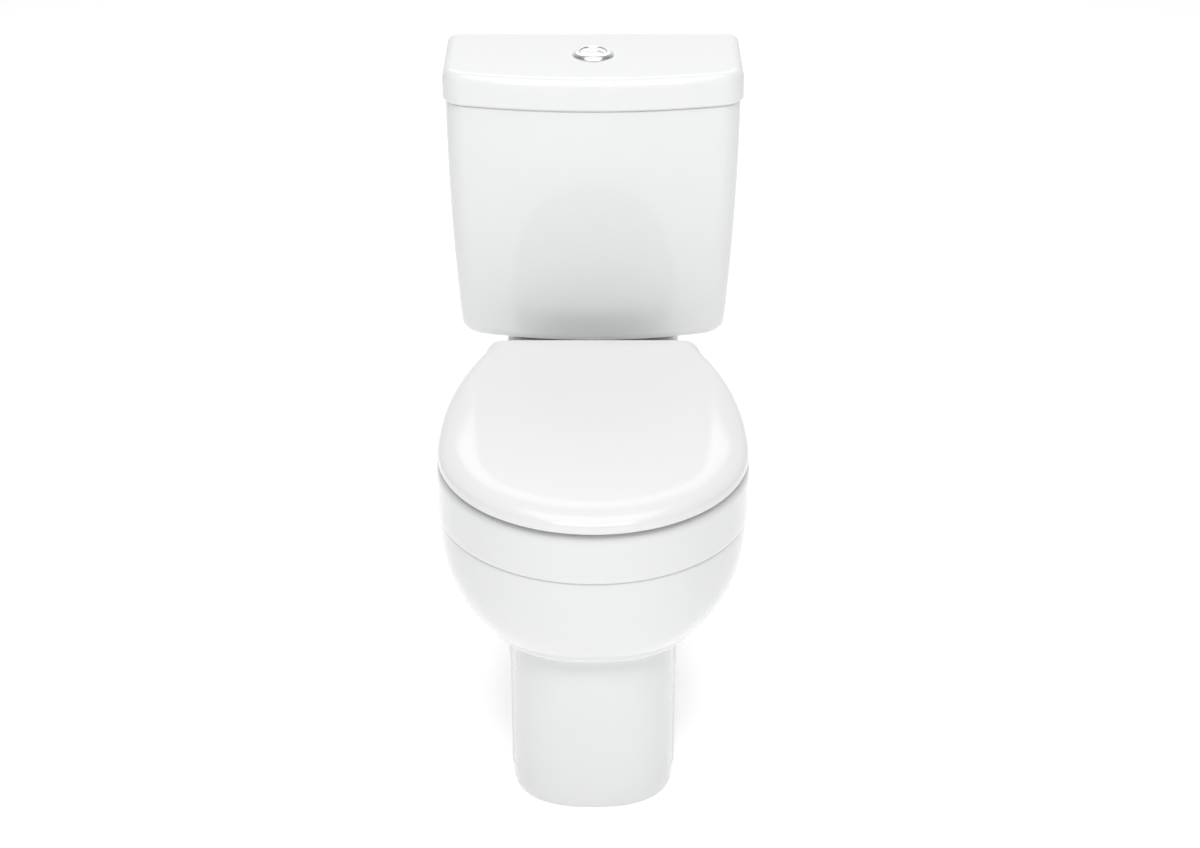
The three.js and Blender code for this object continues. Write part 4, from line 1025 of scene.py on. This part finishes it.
def pale_floor(tone, middle_glow, outer_glow):
    """A pale floor with a painted glow of its own, as of a light table lit from below: the glow is weaker near
    the toilet, a painted shade round it, and stronger away from it.
    """
    material = bpy.data.materials.new("pale_floor")
    material.use_nodes = True
    nodes, link = material.node_tree.nodes, material.node_tree.links.new
    shader = nodes["Principled BSDF"]
    shader.inputs["Base Color"].default_value = (*tone, 1)
    shader.inputs["Roughness"].default_value = 0.7
    shader.inputs["Specular IOR Level"].default_value = 0.2
    # Painted glow: the floor emits light though it is no lamp. The emission is weakest within 0.25 m of the
    # floor's middle and reaches full strength by 0.75 m, a painted shade round the toilet.
    shader.inputs["Emission Color"].default_value = (1, 1, 1, 1)
    place, away = nodes.new("ShaderNodeTexCoord"), nodes.new("ShaderNodeVectorMath")
    ramp = nodes.new("ShaderNodeMapRange")
    away.operation = "LENGTH"
    ramp.interpolation_type = "SMOOTHERSTEP"
    ramp.inputs["From Min"].default_value, ramp.inputs["From Max"].default_value = 0.25, 0.75
    ramp.inputs["To Min"].default_value, ramp.inputs["To Max"].default_value = middle_glow, outer_glow
    link(place.outputs["Object"], away.inputs[0])
    link(away.outputs["Value"], ramp.inputs["Value"])
    link(ramp.outputs["Result"], shader.inputs["Emission Strength"])
    return material


class TOILET_OT_studio(bpy.types.Operator):
    """Set up the pale floor with its painted glow, the soft lights and the camera"""

    bl_idname = "toilet.studio"
    bl_label = "Studio"

    def execute(self, context):
        scene = context.scene
        scene.view_settings.view_transform = "Standard"
        scene.world = soft_room((0.15, 0.48, 1.0, 0.22))
        bpy.ops.mesh.primitive_plane_add(size=30, location=(0, 0, -0.0005))
        floor = context.object
        floor.name = "studio_floor"
        # The floor's painted glow is 0.36 near the toilet, a painted shade, and 0.5 away from it.
        floor.data.materials.append(pale_floor(scene.toilet_colours.floor, 0.36, 0.5))
        add_area("overhead_softbox", (0, -0.2, 3.0), (0, 0, 0.4), 2.2, 1.6, 22)
        add_area("high_front_softbox", (0, -1.7, 2.9), (0, 0, 0.4), 2.2, 1.0, 48)
        add_area("back_panel", (0, 2.4, 2.6), (0, 0, 0.6), 2.6, 1.5, 13)
        camera_data = bpy.data.cameras.new("front_camera")
        camera_data.lens, camera_data.sensor_width = CAMERA_LENS, SENSOR_WIDTH
        camera_data.shift_x = CAMERA_SHIFT
        camera = bpy.data.objects.new("front_camera", camera_data)
        camera.location = (0, at_depth(CAMERA_DEPTH), CAMERA_HEIGHT)
        camera.rotation_euler = (math.radians(90 - CAMERA_TILT), 0, 0)
        scene.collection.objects.link(camera)
        scene.camera = camera
        return {"FINISHED"}


class TOILET_OT_finishes(bpy.types.Operator):
    """Make the finishes: glaze, gloss plastic, chrome, steel, brass, mouldings, rubber and foam"""

    bl_idname = "toilet.finishes"
    bl_label = "Finishes"

    def execute(self, context):
        make_materials(context.scene.toilet_colours)
        return {"FINISHED"}


# ---------- Panel and registration ----------

STEPS = (
    TOILET_OT_finishes, TOILET_OT_pan, TOILET_OT_cistern, TOILET_OT_cistern_lid, TOILET_OT_button,
    TOILET_OT_seat_lid, TOILET_OT_seat_ring, TOILET_OT_hinges, TOILET_OT_fittings, TOILET_OT_studio,
)


class TOILET_PT_pieces(bpy.types.Panel):
    """Lists the steps that build the toilet"""

    bl_idname = "TOILET_PT_pieces"
    bl_label = "Close Coupled Toilet"
    bl_space_type = "VIEW_3D"
    bl_region_type = "UI"
    bl_category = "Toilet"

    def draw(self, context):
        for step in STEPS:
            self.layout.operator(step.bl_idname)


SIZE_GROUPS = (
    ("toilet_pan", ToiletPanSizes), ("toilet_cistern", ToiletCisternSizes), ("toilet_seat", ToiletSeatSizes),
    ("toilet_colours", ToiletColours),
)


def register():
    for name, group in SIZE_GROUPS:
        bpy.utils.register_class(group)
        setattr(bpy.types.Scene, name, bpy.props.PointerProperty(type=group))
    for step in STEPS:
        bpy.utils.register_class(step)
    bpy.utils.register_class(TOILET_PT_pieces)


def unregister():
    bpy.utils.unregister_class(TOILET_PT_pieces)
    for step in reversed(STEPS):
        bpy.utils.unregister_class(step)
    for name, group in reversed(SIZE_GROUPS):
        delattr(bpy.types.Scene, name)
        bpy.utils.unregister_class(group)


def main():
    register()
    for step in STEPS:
        area, name = step.bl_idname.split(".")
        getattr(getattr(bpy.ops, area), name)()


if __name__ == "__main__":
    main()
